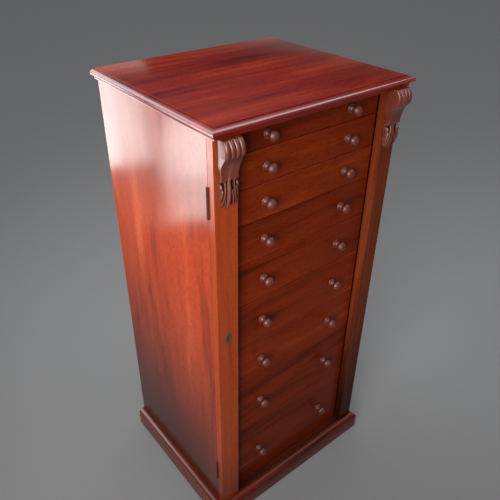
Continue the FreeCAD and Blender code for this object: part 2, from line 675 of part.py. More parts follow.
class Drawer:
    """One drawer, counted from the top, in its closed place."""

    def __init__(self, number):
        self.low = drawer_low(number)
        self.high = self.low + DRAWER_PITCHES[number]
        self.side_low = self.low + DRAWER_SIDE_RISE
        self.side_high = self.high - DRAWER_SIDE_DROP
        self.runner = runner_low(number)
        self.middle = (self.low + self.high) / 2

    def tail_prisms(self):
        """The dovetails of the left side: wedge shapes that widen towards the drawer's front."""
        tall = self.side_high - self.side_low
        count = max(2, round(tall / DOVETAIL_PITCH))
        pitch = tall / count
        neck = pitch * DOVETAIL_NECK_SHARE / 2
        reach = FRONT_THICKNESS - DOVETAIL_LAP
        flare = neck + reach * DOVETAIL_SLOPE
        prisms = []
        for number in range(count):
            middle = self.side_low + (number + 0.5) * pitch
            outline = [(FRONT_BACK, middle - neck), (FRONT_BACK - reach, middle - flare),
                       (FRONT_BACK - reach, middle + flare), (FRONT_BACK, middle + neck)]
            face = polygon([Vector(DRAWER_LEFT, y, z) for y, z in outline])
            prisms.append(face.extrude(Vector(DRAWER_SIDE_THICKNESS, 0, 0)))
        return prisms

    def bottom(self):
        """The bottom panel, held in grooves in the front and sides and running under the back."""
        inset = DRAWER_SIDE_THICKNESS - PANEL_TONGUE
        low = self.side_low + PANEL_RISE
        return block((DRAWER_LEFT + inset, FRONT_BACK - PANEL_TONGUE, low),
                     (DRAWER_RIGHT - inset, DRAWER_END, low + PANEL_THICKNESS))

    def back(self):
        """The back board, standing on the bottom panel between the sides."""
        inset = DRAWER_SIDE_THICKNESS - DRAWER_BACK_HOUSING
        low = self.side_low + PANEL_RISE + PANEL_THICKNESS
        return block((DRAWER_LEFT + inset, DRAWER_END - DRAWER_BACK_THICKNESS, low),
                     (DRAWER_RIGHT - inset, DRAWER_END, self.side_high - DRAWER_BACK_DROP))

    def left(self):
        """The left side: dovetailed, grooved outside for its runner and inside for the bottom panel."""
        inner = DRAWER_LEFT + DRAWER_SIDE_THICKNESS
        board = block((DRAWER_LEFT, FRONT_BACK, self.side_low), (inner, DRAWER_END, self.side_high))
        for prism in self.tail_prisms():
            board = board.fuse(prism)
        groove_in = DRAWER_LEFT + RUNNER_TONGUE + RUNNER_CLEARANCE
        groove = block((DRAWER_LEFT, FRONT_BACK, self.runner - 2 * RUNNER_CLEARANCE),
                       (groove_in, DRAWER_END, self.runner + RUNNER_HEIGHT + RUNNER_CLEARANCE))
        return board.cut(groove).cut(self.bottom()).cut(self.back()).removeSplitter()

    def front(self):
        """The front: eased edges, dovetail sockets, a groove for the bottom and holes for the spigots."""
        low = (DRAWER_LEFT, FACE_PLANE, self.low + DRAWER_LINE / 2)
        board = block(low, (DRAWER_RIGHT, FRONT_BACK, self.high - DRAWER_LINE / 2))
        rim = [edge for edge in board.Edges if edge.BoundBox.YMax < FACE_PLANE + FRONT_CHAMFER]
        board = board.makeChamfer(FRONT_CHAMFER, rim)
        for prism in self.tail_prisms():
            board = board.cut(prism).cut(mirrored(prism, DRAWER_MIDDLE))
        return board.cut(self.bottom()).cut(self.knobs())

    def box(self):
        """The two sides and the back, as separate boards."""
        left = self.left()
        return Part.makeCompound([left, mirrored(left, DRAWER_MIDDLE), self.back()])

    def knobs(self):
        """The pair of knobs at the front's mid height."""
        return Part.makeCompound([knob(-KNOB_SPREAD / 2, self.middle), knob(KNOB_SPREAD / 2, self.middle)])


def chest_pieces():
    """Every piece of the chest by its name."""
    left_corbel = corbel(FLAP_HEAD)
    right_corbel = corbel(UNDER_TOP)
    left_corbel.translate(Vector(-FLAP_MIDDLE, 0, 0))
    right_corbel.translate(Vector(STILE_MIDDLE, 0, 0))
    rear = BACK_INNER - POST_DEPTH
    pieces = {
        "top_board": top_board(),
        "left_side": hinged_left_side(),
        "right_side": mirrored(left_side()),
        "back_boards": back_boards(),
        "bottom_board": bottom_board(),
        "plinth_front": plinth_front(),
        "plinth_sides": Part.makeCompound([plinth_left(), mirrored(plinth_left())]),
        "plinth_back": plinth_back(),
        "plinth_blocks": plinth_blocks(),
        "base_rail": base_rail(),
        "front_posts": Part.makeCompound([striking_post(), right_post(FACE_PLANE)]),
        "rear_posts": Part.makeCompound([left_post(rear), right_post(rear)]),
        "drawer_runners": Part.makeCompound(left_runners().Solids + right_runners().Solids),
        "right_stile": right_stile(),
        "right_corbel": right_corbel,
        "locking_flap": locking_flap(),
        "flap_corbel": left_corbel,
        "hinge_leaves_fixed": Part.makeCompound([hinge_leaf(h, FACE_PLANE, 0) for h in hinge_heights()]),
        "hinge_leaves_moving": Part.makeCompound([hinge_leaf(h, FLAP_BACK - HINGE_LEAF_THICKNESS, 1)
                                                  for h in hinge_heights()]),
        "hinge_pins": hinge_pins(),
        "lock_case": lock_case(),
        "lock_bolt": lock_bolt(),
        "strike_plate": strike_plate(),
        "escutcheon": escutcheon(),
    }
    for number in range(len(DRAWER_PITCHES)):
        drawer = Drawer(number)
        name = f"drawer_{number + 1}"
        pieces[f"{name}_front"] = drawer.front()
        pieces[f"{name}_box"] = drawer.box()
        pieces[f"{name}_bottom"] = drawer.bottom()
        pieces[f"{name}_knobs"] = drawer.knobs()
    return pieces


def main():
    """Writes every piece to its own STEP file."""
    os.makedirs("parts", exist_ok=True)
    for name, shape in chest_pieces().items():
        shape.exportStep(f"parts/{name}.step")


main()
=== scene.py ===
"""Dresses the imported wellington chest: polished mahogany, turned knobs, carved corbels and old brass.

Metres, with X to the viewer's right, -Y at the front and Z up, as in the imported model.
"""

import json
import logging
import math
from dataclasses import dataclass, field, replace
from enum import Enum

import bmesh
import bpy
import numpy as np
from mathutils import Matrix, Vector


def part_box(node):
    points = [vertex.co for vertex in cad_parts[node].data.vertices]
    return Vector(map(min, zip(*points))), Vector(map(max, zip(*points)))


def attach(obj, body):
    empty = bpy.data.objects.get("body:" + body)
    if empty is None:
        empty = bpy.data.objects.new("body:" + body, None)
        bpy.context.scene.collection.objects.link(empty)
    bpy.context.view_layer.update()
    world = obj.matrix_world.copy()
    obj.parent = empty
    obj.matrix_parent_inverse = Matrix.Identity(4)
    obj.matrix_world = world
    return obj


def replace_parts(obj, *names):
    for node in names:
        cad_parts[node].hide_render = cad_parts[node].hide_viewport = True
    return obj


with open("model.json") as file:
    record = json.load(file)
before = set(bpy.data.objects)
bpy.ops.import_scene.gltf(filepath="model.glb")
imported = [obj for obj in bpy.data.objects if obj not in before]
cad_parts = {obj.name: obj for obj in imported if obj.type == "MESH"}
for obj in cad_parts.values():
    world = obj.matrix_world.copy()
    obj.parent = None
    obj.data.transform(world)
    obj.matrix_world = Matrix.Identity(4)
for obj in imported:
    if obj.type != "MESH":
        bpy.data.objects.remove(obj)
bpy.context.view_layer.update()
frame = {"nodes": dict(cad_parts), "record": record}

Colour = tuple[float, float, float, float]
Pair = tuple[float, float]
Triple = tuple[float, float, float]
Place = Triple
Values = dict[int | str, object]
Material = bpy.types.Material
Node = bpy.types.Node
Socket = bpy.types.NodeSocket
Tree = bpy.types.NodeTree

LOG = logging.getLogger("wellington_chest")
MM = 0.001
WELD = 1e-6
SMOOTH_ANGLE = math.radians(35)
ARC_STEPS = 14
BELOW_ONE = 1 - 1e-9
DRAWER_COUNT = sum(name.endswith("_front") and name.startswith("drawer_") for name in frame["nodes"])


def shade(red: int, green: int, blue: int) -> Colour:
    """A linear colour from the levels that a screen shows it at, by the usual screen curve.

    Args:
        red: level of red, 0 to 255.
        green: level of green.
        blue: level of blue.

    Returns:
        The colour, opaque.
    """
    level = np.array([red, green, blue]) / 255
    linear = np.where(level <= 0.04045, level / 12.92, ((level + 0.055) / 1.055) ** 2.4)
    return (*linear.tolist(), 1.0)


# Curves that the sections and profiles are made of

def quarter(centre: Pair, out: float, up: float, count: int = ARC_STEPS) -> np.ndarray:
    """A quarter of an ellipse: at angle t the point is centre + (out * sin t, up * cos t)."""
    turn = np.linspace(0, math.pi / 2, count)
    return np.stack([centre[0] + out * np.sin(turn), centre[1] + up * np.cos(turn)], axis=1)


def smooth_curve(knots: np.ndarray, count: int) -> np.ndarray:
    """A natural cubic spline through the knots, with the chords' lengths as its parameter.

    Args:
        knots: the points that the curve goes through, one in each row.
        count: number of points wanted.

    Returns:
        Points at even steps of the parameter.
    """
    steps = np.linalg.norm(np.diff(knots, axis=0), axis=1)
    marks = np.concatenate([[0], np.cumsum(steps)])
    inner = np.arange(1, len(knots) - 1)
    system = np.eye(len(knots))
    system[inner, inner - 1] = steps[:-1]
    system[inner, inner] = 2 * (steps[:-1] + steps[1:])
    system[inner, inner + 1] = steps[1:]
    turn = np.zeros_like(knots)
    turn[1:-1] = 6 * np.diff(np.diff(knots, axis=0) / steps[:, None], axis=0)
    bend = np.linalg.solve(system, turn)
    at = np.linspace(0, marks[-1], count)
    piece = np.clip(np.searchsorted(marks, at, side="right") - 1, 0, len(steps) - 1)
    step = steps[piece][:, None]
    after = (at - marks[piece])[:, None] / step
    before = 1 - after
    straight = before * knots[piece] + after * knots[piece + 1]
    pull = (before ** 3 - before) * bend[piece] + (after ** 3 - after) * bend[piece + 1]
    return straight + pull * step ** 2 / 6


def spread(loop: np.ndarray, count: int) -> np.ndarray:
    """Points at even steps along a closed loop, found by measuring along its sides.

    Args:
        loop: the loop's corners, one in each row.
        count: number of points wanted.

    Returns:
        The points, beginning at the loop's first corner.
    """
    closed = np.vstack([loop, loop[:1]])
    marks = np.concatenate([[0], np.cumsum(np.linalg.norm(np.diff(closed, axis=0), axis=1))])
    at = np.linspace(0, marks[-1], count, endpoint=False)
    return np.stack([np.interp(at, marks, closed[:, axis]) for axis in range(loop.shape[1])], axis=1)


@dataclass
class Skin:
    """Gathers grids of points and flat ends into one closed mesh."""

    sheets: list[np.ndarray] = field(default_factory=list)
    faces: list[list[int]] = field(default_factory=list)
    count: int = 0

    def grid(self, points: np.ndarray, around: bool = False) -> np.ndarray:
        """Lays quads over a grid of points.

        Args:
            points: an array of rows, columns and three coordinates.
            around: True where the last column joins the first.

        Returns:
            The points' numbers, as a grid of rows and columns.
        """
        rows, columns = points.shape[:2]
        numbers = np.arange(rows * columns).reshape(rows, columns) + self.count
        run = np.concatenate([numbers, numbers[:, :1]], axis=1) if around else numbers
        quads = np.stack([run[:-1, :-1], run[:-1, 1:], run[1:, 1:], run[1:, :-1]], axis=-1)
        self.sheets.append(points.reshape(-1, 3))
        self.faces.extend(quads.reshape(-1, 4).tolist())
        self.count += rows * columns
        return numbers

    def cap(self, ring: np.ndarray) -> None:
        """Closes a ring of point numbers with one flat face."""
        self.faces.append(ring.tolist())

    def piece(self, name: str, body: str, slot: str, material: Material) -> bpy.types.Object:
        """Makes the mesh, welded, facing outwards and smooth but for its sharp edges.

        Args:
            name: the piece's name.
            body: the CAD body that it moves with.
            slot: the record's material slot.
            material: its finish.

        Returns:
            The object, at the origin with its place in its mesh.
        """
        mesh = bpy.data.meshes.new(name)
        mesh.from_pydata(np.concatenate(self.sheets).tolist(), [], self.faces)
        work = bmesh.new()
        work.from_mesh(mesh)
        bmesh.ops.remove_doubles(work, verts=work.verts, dist=WELD)
        bmesh.ops.dissolve_degenerate(work, edges=work.edges, dist=WELD)
        bmesh.ops.recalc_face_normals(work, faces=work.faces)
        work.to_mesh(mesh)
        work.free()
        mesh.polygons.foreach_set("use_smooth", np.ones(len(mesh.polygons), dtype=bool))
        mesh.set_sharp_from_angle(angle=SMOOTH_ANGLE)
        mesh.materials.append(material)
        made = bpy.data.objects.new(name, mesh)
        bpy.context.scene.collection.objects.link(made)
        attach(made, body)
        LOG.info("%s: %d faces, moves with %s", name, len(mesh.polygons), body)
        return made


# Shader nodes

class Grain(Enum):
    """The axis that a board's fibres run along, as the order in which its coordinates are read."""

    X = ("X", "Y", "Z")
    Y = ("Y", "Z", "X")
    Z = ("Z", "X", "Y")


@dataclass
class Wiring:
    """Adds nodes to one node tree and joins their sockets."""

    tree: Tree

    def feed(self, node: Node, values: Values) -> None:
        """Joins a node's sockets to values, or sets them where a value is a constant.

        Args:
            node: the node.
            values: sockets or constants, by the numbers or names of the node's inputs.
        """
        for key, value in values.items():
            if isinstance(value, Socket):
                self.tree.links.new(value, node.inputs[key])
            else:
                node.inputs[key].default_value = value

    def add(self, kind: str, values: Values | None = None, **settings: object) -> Node:
        """Adds a node, sets its properties and feeds its sockets.

        Args:
            kind: the node's type name.
            values: sockets or constants, by the numbers or names of the node's inputs.
            settings: properties of the node by name.

        Returns:
            The node.
        """
        node = self.tree.nodes.new(kind)
        for name, value in settings.items():
            setattr(node, name, value)
        self.feed(node, values or {})
        return node

    def number(self, operation: str, first: object, second: object) -> Socket:
        """The number that one operation on two numbers gives."""
        return self.add("ShaderNodeMath", {0: first, 1: second}, operation=operation).outputs[0]

    def times(self, first: object, second: object) -> Socket:
        """The product of two numbers."""
        return self.number("MULTIPLY", first, second)

    def plus(self, first: object, second: object) -> Socket:
        """The sum of two numbers."""
        return self.number("ADD", first, second)

    def minus(self, first: object, second: object) -> Socket:
        """The first number less the second."""
        return self.number("SUBTRACT", first, second)

    def weighed(self, first: object, second: object, shares: Pair) -> Socket:
        """The sum of two numbers, each times its own share."""
        return self.plus(self.times(first, shares[0]), self.times(second, shares[1]))

    def ranged(self, value: object, low: float, high: float) -> Socket:
        """A number from 0 to 1, carried over to the range from low to high."""
        return self.plus(self.times(value, high - low), low)

    def spanned(self, value: object, low: float, high: float) -> Socket:
        """A number that rises smoothly from 0, where the value is low, to 1, where it is high."""
        values = {0: value, 1: low, 2: high}
        return self.add("ShaderNodeMapRange", values, interpolation_type="SMOOTHSTEP").outputs[0]

    def vector(self, operation: str, first: object, second: object) -> Socket:
        """The vector that one operation on two vectors gives."""
        return self.add("ShaderNodeVectorMath", {0: first, 1: second}, operation=operation).outputs["Vector"]

    def triple(self, first: object, second: object, third: object) -> Socket:
        """A vector from three numbers."""
        return self.add("ShaderNodeCombineXYZ", {0: first, 1: second, 2: third}).outputs[0]

    def blend(self, share: object, first: object, second: object, mode: str = "MIX") -> Socket:
        """A mix of two colours, in which the second shows by its share."""
        values = {0: share, 6: first, 7: second}
        return self.add("ShaderNodeMix", values, data_type="RGBA", blend_type=mode).outputs[2]

    def noise(self, place: Socket, waves: object, detail: float, roughness: float = 0.5) -> Node:
        """Noise with so many waves a metre along each axis, and finer octaves by detail and roughness."""
        values = {"Vector": self.vector("MULTIPLY", place, waves), "Scale": 1.0, "Detail": detail}
        return self.add("ShaderNodeTexNoise", {**values, "Roughness": roughness})

    def group(self, tree: Tree, values: Values) -> Node:
        """Places a node group with these values on its inputs."""
        return self.add("ShaderNodeGroup", values, node_tree=tree)


def new_group(name: str, inputs: dict[str, str], outputs: dict[str, str]) -> tuple[Wiring, Values, Node]:
    """An empty node group with named sockets.

    Args:
        name: the group's name.
        inputs: socket types by name.
        outputs: socket types by name.

    Returns:
        The group's wiring, the inner sockets of its inputs by name, and the node that takes its outputs.
    """
    tree = bpy.data.node_groups.new(name, "ShaderNodeTree")
    for way, sockets in (("INPUT", inputs), ("OUTPUT", outputs)):
        for label, kind in sockets.items():
            tree.interface.new_socket(label, in_out=way, socket_type=kind)
    wiring = Wiring(tree)
    begin = wiring.add("NodeGroupInput")
    return wiring, {label: begin.outputs[label] for label in inputs}, wiring.add("NodeGroupOutput")


@dataclass(frozen=True)
class Waves:
    """Drawn-out noise: waves a metre along the grain and waves a band across it, octaves and their weight."""

    along: float
    across: float
    detail: float
    roughness: float


FLOAT = "NodeSocketFloat"
VECTOR = "NodeSocketVector"
COLOUR = "NodeSocketColor"
BLACK: Colour = (0.0, 0.0, 0.0, 1.0)
MIDDLE = 0.5

BAND_WAVES = Waves(1.3, 1.0, 2.0, 0.5)
STREAK_WAVES = Waves(3.5, 5.0, 4.0, 0.6)
FIBRE_WAVES = Waves(26.0, 42.0, 2.0, 0.6)
PORE_WAVES = Waves(85.0, 90.0, 1.0, 0.5)
RIPPLE_WAVES = Waves(2.2, 3.2, 1.0, 0.4)
BEND_WAVES: Triple = (1.6, 4.5, 4.5)
SEED_SHIFT: Triple = (1.37, 0.73, 0.41)
FIGURE_SHARES: Pair = (0.55, 0.45)
GLOSS_SHARES: Pair = (0.6, 0.4)
ROUGH_SHARES: Pair = (0.5, 0.5)
FIBRE_RANGE: Pair = (0.45, 0.75)
FIBRE_STAIN = 0.35
FIBRE_DEPTH = 0.4
PORE_RANGE: Pair = (0.57, 0.7)
PORE_STAIN = 0.55

PATCH_WAVES: Triple = (38.0, 38.0, 38.0)
PATCH_RANGE: Pair = (0.3, 0.65)
SMEAR_WAVES: Triple = (9.0, 9.0, 5.0)
SMEAR_RANGE: Pair = (0.38, 0.66)
EDGE_RANGE: Pair = (0.02, 0.22)
EDGE_SAMPLES = 4
HOLLOW_RANGE: Pair = (0.12, 0.8)
HOLLOW_SAMPLES = 6
CLOUD_WAVES: Triple = (210.0, 210.0, 210.0)
CLOUD_RANGE: Pair = (0.35, 0.65)


def wood_group() -> Tree:
    """Figured wood on coordinates whose first axis runs along the grain.

    The coordinates are bent by slow noise, then noise drawn out along the grain gives broad bands,
    streaks, fibres and pores, each finer than the last.

    Returns:
        The group, which puts out a colour, a gloss value and a relief.
    """
    numbers = {name: FLOAT for name in ("Seed", "Bands", "Wander", "Contrast", "Pores", "Ripple")}
    colours = {name: COLOUR for name in ("Dark", "Middle", "Light")}
    wiring, get, give = new_group(
        "figured_wood", {"Vector": VECTOR, **numbers, **colours},
        {"Colour": COLOUR, "Gloss": FLOAT, "Relief": FLOAT})
    shift = wiring.triple(*(wiring.times(get["Seed"], step) for step in SEED_SHIFT))
    placed = wiring.vector("ADD", get["Vector"], shift)
    slow = wiring.noise(placed, BEND_WAVES, detail=2.0)
    bend = wiring.vector("SUBTRACT", slow.outputs["Color"], (MIDDLE, MIDDLE, MIDDLE))
    wander = wiring.triple(0.0, get["Wander"], get["Wander"])
    bent = wiring.vector("ADD", placed, wiring.vector("MULTIPLY", bend, wander))

    def drawn_out(waves: Waves) -> Socket:
        """Noise of these waves on the bent coordinates."""
        wide = wiring.times(get["Bands"], waves.across)
        return wiring.noise(bent, wiring.triple(waves.along, wide, wide), waves.detail,
                            waves.roughness).outputs["Fac"]

    streaks = drawn_out(STREAK_WAVES)
    fibres = drawn_out(FIBRE_WAVES)
    pores = wiring.times(wiring.spanned(drawn_out(PORE_WAVES), *PORE_RANGE), get["Pores"])
    mixed = wiring.weighed(drawn_out(BAND_WAVES), streaks, FIGURE_SHARES)
    level = wiring.plus(wiring.times(wiring.minus(mixed, MIDDLE), get["Contrast"]), MIDDLE)
    lower = wiring.blend(wiring.spanned(level, 0.0, MIDDLE), get["Dark"], get["Middle"])
    figure = wiring.blend(wiring.spanned(level, MIDDLE, 1.0), lower, get["Light"])
    stain = wiring.times(wiring.spanned(fibres, *FIBRE_RANGE), FIBRE_STAIN)
    fibred = wiring.blend(stain, figure, get["Dark"])
    ripple = wiring.times(drawn_out(RIPPLE_WAVES), get["Ripple"])
    grooves = wiring.minus(wiring.times(fibres, FIBRE_DEPTH), pores)
    wiring.feed(give, {
        "Colour": wiring.blend(pores, fibred, wiring.blend(PORE_STAIN, get["Dark"], BLACK)),
        "Gloss": wiring.weighed(streaks, fibres, GLOSS_SHARES),
        "Relief": wiring.plus(ripple, grooves)})
    return wiring.tree


def age_group() -> Tree:
    """Masks of wear and painted light: rubbed edges, which on the carving are also a painted highlight,
    the hollows, which darken the woods as dirt and painted shade and the metals as tarnish, and faint
    smears in the polish.

    An edge shows where the normal rounded over a small radius leaves the face's own normal. A hollow
    shows where the piece shades itself.

    Returns:
        The group, which puts out the three as masks.
    """
    wiring, get, give = new_group("wear_and_painted_light_masks", {"Edge radius": FLOAT, "Hollow depth": FLOAT},
                                  {"Edges": FLOAT, "Hollows": FLOAT, "Smears": FLOAT})
    rounded = wiring.add("ShaderNodeBevel", {"Radius": get["Edge radius"]}, samples=EDGE_SAMPLES).outputs[0]
    face = wiring.add("ShaderNodeNewGeometry").outputs["Normal"]
    likeness = wiring.add("ShaderNodeVectorMath", {0: rounded, 1: face}, operation="DOT_PRODUCT")
    edges = wiring.spanned(wiring.minus(1.0, likeness.outputs["Value"]), *EDGE_RANGE)
    hollow = wiring.add("ShaderNodeAmbientOcclusion", {"Distance": get["Hollow depth"]}, only_local=True,
                        samples=HOLLOW_SAMPLES)
    place = wiring.add("ShaderNodeTexCoord").outputs["Object"]
    patches = wiring.noise(place, PATCH_WAVES, detail=3.0, roughness=0.6).outputs["Fac"]
    smears = wiring.noise(place, SMEAR_WAVES, detail=3.0, roughness=0.55).outputs["Fac"]
    wiring.feed(give, {
        "Edges": wiring.times(edges, wiring.spanned(patches, *PATCH_RANGE)),
        "Hollows": wiring.spanned(wiring.minus(1.0, hollow.outputs["AO"]), *HOLLOW_RANGE),
        "Smears": wiring.spanned(smears, *SMEAR_RANGE)})
    return wiring.tree


@dataclass
class Workshop:
    """Holds the node groups that all finishes share, built once."""

    wood: Tree = field(default_factory=wood_group)
    age: Tree = field(default_factory=age_group)


def new_material(name: str) -> tuple[Material, Wiring, Node]:
    """A material with an unset Principled BSDF.

    Args:
        name: the material's name.

    Returns:
        The material, its wiring and its shader node.
    """
    material = bpy.data.materials.new(name)
    material.use_nodes = True
    wiring = Wiring(material.node_tree)
    return material, wiring, material.node_tree.nodes["Principled BSDF"]


@dataclass(frozen=True)
class Wood:
    """A wood's colours, figure, polish, and the painted shade laid over its colour.

    The relief is how deep the pores are, in metres, and the ripple how many times that the old surface
    waves. Between the foot's two heights the colour is painted darker downwards, to the share given, as
    painted shade where less light reaches the lower boards. Between the head's heights it is painted
    darker upwards, as painted shade that tones down the bright reflections high up. The foot's heights
    rise towards the back by its lean, so that the painted shade also deepens towards the back. From one
    place along X to the other, the gap shadow end goes over to the shade colour, which is the dark colour
    times a share: a painted shadow in the gap beside the drawer's end. The hollows go over to that colour
    too, as dirt and painted shade. Between the polished heights there is a coat of polish, whose index
    makes it shine more than the rest.
    """

    name: str
    dark: Colour
    middle: Colour
    light: Colour
    bands: float = 14.0
    wander: float = 0.05
    contrast: float = 3.0
    pores: float = 0.5
    gloss: Pair = (0.16, 0.30)
    shine: float = 0.2
    # How far the edges lighten: wear, and on the carving also a painted highlight.
    rub: float = 0.2
    # How far the hollows darken as dirt and painted shade, and the share of the dark colour that they and the
    # painted gap shadow go to.
    dirt: float = 0.6
    grime_and_shade: float = 0.3
    relief: float = 0.00004
    ripple: float = 4.0
    # Painted shade: darker towards the foot, and towards the back by the lean, where less light falls.
    foot: Pair = (0.05, 0.45)
    foot_shade: float = 1.0
    foot_lean: float = 0.0
    # Painted shadow: a dark band from one place along X to the other, in the gap at the drawer's end.
    gap_shadow_end: Pair | None = None
    polished: Pair | None = None
    polish_index: float = 1.9
    # Painted shade: darker towards the top, to tone down the bright reflections there.
    head: Pair = (0.9, 1.06)
    head_shade: float = 1.0
    edge_radius: float = 0.0012
    hollow_depth: float = 0.006

    def material(self, shop: Workshop, board: str, grain: Grain, seed: float) -> Material:
        """The finish on one board, with its own stretch of figure.

        Args:
            shop: the shared node groups.
            board: the board's name.
            grain: the axis of its fibres.
            seed: number that moves the figure.

        Returns:
            The material.
        """
        material, wiring, shader = new_material(f"{self.name}_{board}")
        split = wiring.add("ShaderNodeSeparateXYZ", {0: wiring.add("ShaderNodeTexCoord").outputs["Object"]})
        x, y, z = split.outputs
        wood = wiring.group(shop.wood, {
            "Vector": wiring.triple(*(split.outputs[axis] for axis in grain.value)), "Seed": seed,
            "Bands": self.bands, "Wander": self.wander, "Contrast": self.contrast, "Pores": self.pores,
            "Ripple": self.ripple, "Dark": self.dark, "Middle": self.middle, "Light": self.light})
        age = wiring.group(shop.age, {"Edge radius": self.edge_radius, "Hollow depth": self.hollow_depth})

        def painted_height_shade(colour: Socket, share: float, height: Socket, reach: Pair) -> Socket:
            """The colour with painted shade: it darkens to a share of itself as the height goes through its
            reach.
            """
            deep = wiring.blend(1.0, colour, (share,) * 3 + (1.0,), "MULTIPLY")
            return wiring.blend(wiring.spanned(height, *reach), colour, deep)

        figure = wood.outputs["Colour"]
        # Painted shade towards the foot and the back, then painted shade towards the top.
        if self.foot_shade < 1.0:
            leaning = wiring.minus(z, wiring.times(y, self.foot_lean))
            figure = painted_height_shade(figure, self.foot_shade, leaning, self.foot[::-1])
        if self.head_shade < 1.0:
            figure = painted_height_shade(figure, self.head_shade, z, self.head)
        # Edges lighten towards the light colour: wear, and on the carving also a painted highlight.
        rubbed = wiring.blend(wiring.times(age.outputs["Edges"], self.rub), figure, self.light)
        # The hollows darken as dirt and painted shade, towards the dark colour times the share.
        grime_and_shade = tuple(self.grime_and_shade * part for part in self.dark[:3]) + (1.0,)
        dirt_and_shade = wiring.times(age.outputs["Hollows"], self.dirt)
        # Painted shadow in the gap beside the drawers' ends.
        if self.gap_shadow_end:
            dirt_and_shade = wiring.number("MAXIMUM", dirt_and_shade, wiring.spanned(x, *self.gap_shadow_end))
        marks = wiring.weighed(wood.outputs["Gloss"], age.outputs["Smears"], ROUGH_SHARES)
        bump = wiring.add("ShaderNodeBump", {"Distance": self.relief, "Height": wood.outputs["Relief"]})
        wiring.feed(shader, {
            "Base Color": wiring.blend(dirt_and_shade, rubbed, grime_and_shade), "Roughness": wiring.ranged(marks, *self.gloss),
            "Specular IOR Level": self.shine, "Normal": bump.outputs[0]})
        if self.polished:
            low, high = self.polished
            coat = wiring.times(wiring.spanned(z, high, high - MM), wiring.spanned(z, low - MM, low))
            wiring.feed(shader, {
                "Coat Weight": coat, "Coat Roughness": self.gloss[0], "Coat IOR": self.polish_index})
        return material


@dataclass(frozen=True)
class Metal:
    """An old metal: its own colour, the tarnish over it, and how each shines.

    The bare parts look metallic by the share given, and full tarnish leaves a part of that share.
    """

    name: str
    bright: Colour
    tarnish: Colour
    cover: float
    gloss: Pair
    bare: float = 1.0
    tarnished: float = 0.65
    edge_radius: float = 0.0006
    hollow_depth: float = 0.003

    def material(self, shop: Workshop, fitting: str) -> Material:
        """The finish on one fitting: bright where it is rubbed, dull where tarnish or dirt lies.

        Args:
            shop: the shared node groups.
            fitting: the fitting's name.

        Returns:
            The material.
        """
        material, wiring, shader = new_material(f"{self.name}_{fitting}")
        place = wiring.add("ShaderNodeTexCoord").outputs["Object"]
        cloud = wiring.noise(place, CLOUD_WAVES, detail=4.0, roughness=0.65).outputs["Fac"]
        age = wiring.group(shop.age, {"Edge radius": self.edge_radius, "Hollow depth": self.hollow_depth})
        spots = wiring.times(wiring.spanned(cloud, *CLOUD_RANGE), self.cover)
        dirty = wiring.number("MAXIMUM", spots, age.outputs["Hollows"])
        dull = wiring.times(dirty, wiring.minus(1.0, age.outputs["Edges"]))
        wiring.feed(shader, {
            "Base Color": wiring.blend(dull, self.bright, self.tarnish),
            "Roughness": wiring.ranged(dull, *self.gloss),
            "Metallic": wiring.ranged(dull, self.bare, self.bare * self.tarnished)})
        return material


TOP_WOOD = Wood("top_mahogany", shade(74, 12, 8), shade(130, 29, 18), shade(168, 54, 30), bands=9.0,
                contrast=2.8, gloss=(0.1, 0.2), shine=0.26, polished=(1.1912, 1.1984))
# Painted shade: the side darkens towards its foot, back and top; the flap, stile and drawers towards their
# foot.
SIDE_WOOD = Wood("side_mahogany", shade(128, 42, 18), shade(178, 66, 31), shade(206, 92, 47), bands=7.0,
                 wander=0.08, contrast=2.4, gloss=(0.12, 0.22), shine=0.3, foot=(0.05, 0.8), foot_shade=0.15,
                 foot_lean=0.4, head_shade=0.64)
# Lit and shaded copies of the stile's mahogany: the flap's lighter and the stile's darker, partly their own
# tone and partly painted light and shade.
FLAP_WOOD = Wood("flap_mahogany", shade(124, 42, 14), shade(166, 66, 25), shade(188, 86, 38), bands=18.0,
                 contrast=2.0, shine=0.24, foot=(0.05, 0.3), foot_shade=0.5)
STILE_WOOD = Wood("stile_mahogany", shade(74, 28, 13), shade(118, 50, 25), shade(148, 70, 36), bands=18.0,
                  contrast=2.6, shine=0.06, foot=(0.05, 0.7), foot_shade=0.2)
# The gap shadow end paints a shadow along the drawers' right ends, beside the stile.
DRAWER_WOOD = Wood("drawer_mahogany", shade(84, 23, 6), shade(124, 41, 10), shade(156, 60, 18), bands=8.0,
                   contrast=2.6, shine=0.08, rub=0.04, foot=(0.05, 0.55), foot_shade=0.72,
                   gap_shadow_end=(0.2075, 0.2115))
# The carving's strong edge lightening is wear and a painted highlight on its lobes; its hollows darken as
# dirt and painted shade.
CARVED_WOOD = Wood("carved_mahogany", shade(70, 26, 17), shade(122, 54, 36), shade(184, 116, 92), bands=24.0,
                   contrast=2.0, gloss=(0.3, 0.42), shine=0.9, rub=0.6, dirt=1.0, ripple=0.5,
                   edge_radius=0.002, hollow_depth=0.018)
KNOB_WOOD = Wood("knob_mahogany", shade(58, 20, 12), shade(102, 40, 25), shade(140, 70, 50), bands=40.0,
                 contrast=2.0, gloss=(0.38, 0.5), shine=0.8, ripple=0.5)
PLINTH_WOOD = Wood("plinth_mahogany", shade(62, 18, 12), shade(106, 38, 20), shade(144, 62, 34), bands=12.0)
PLINTH_SIDE_WOOD = replace(PLINTH_WOOD, name="plinth_side_mahogany", polished=(0.048, 0.0604))
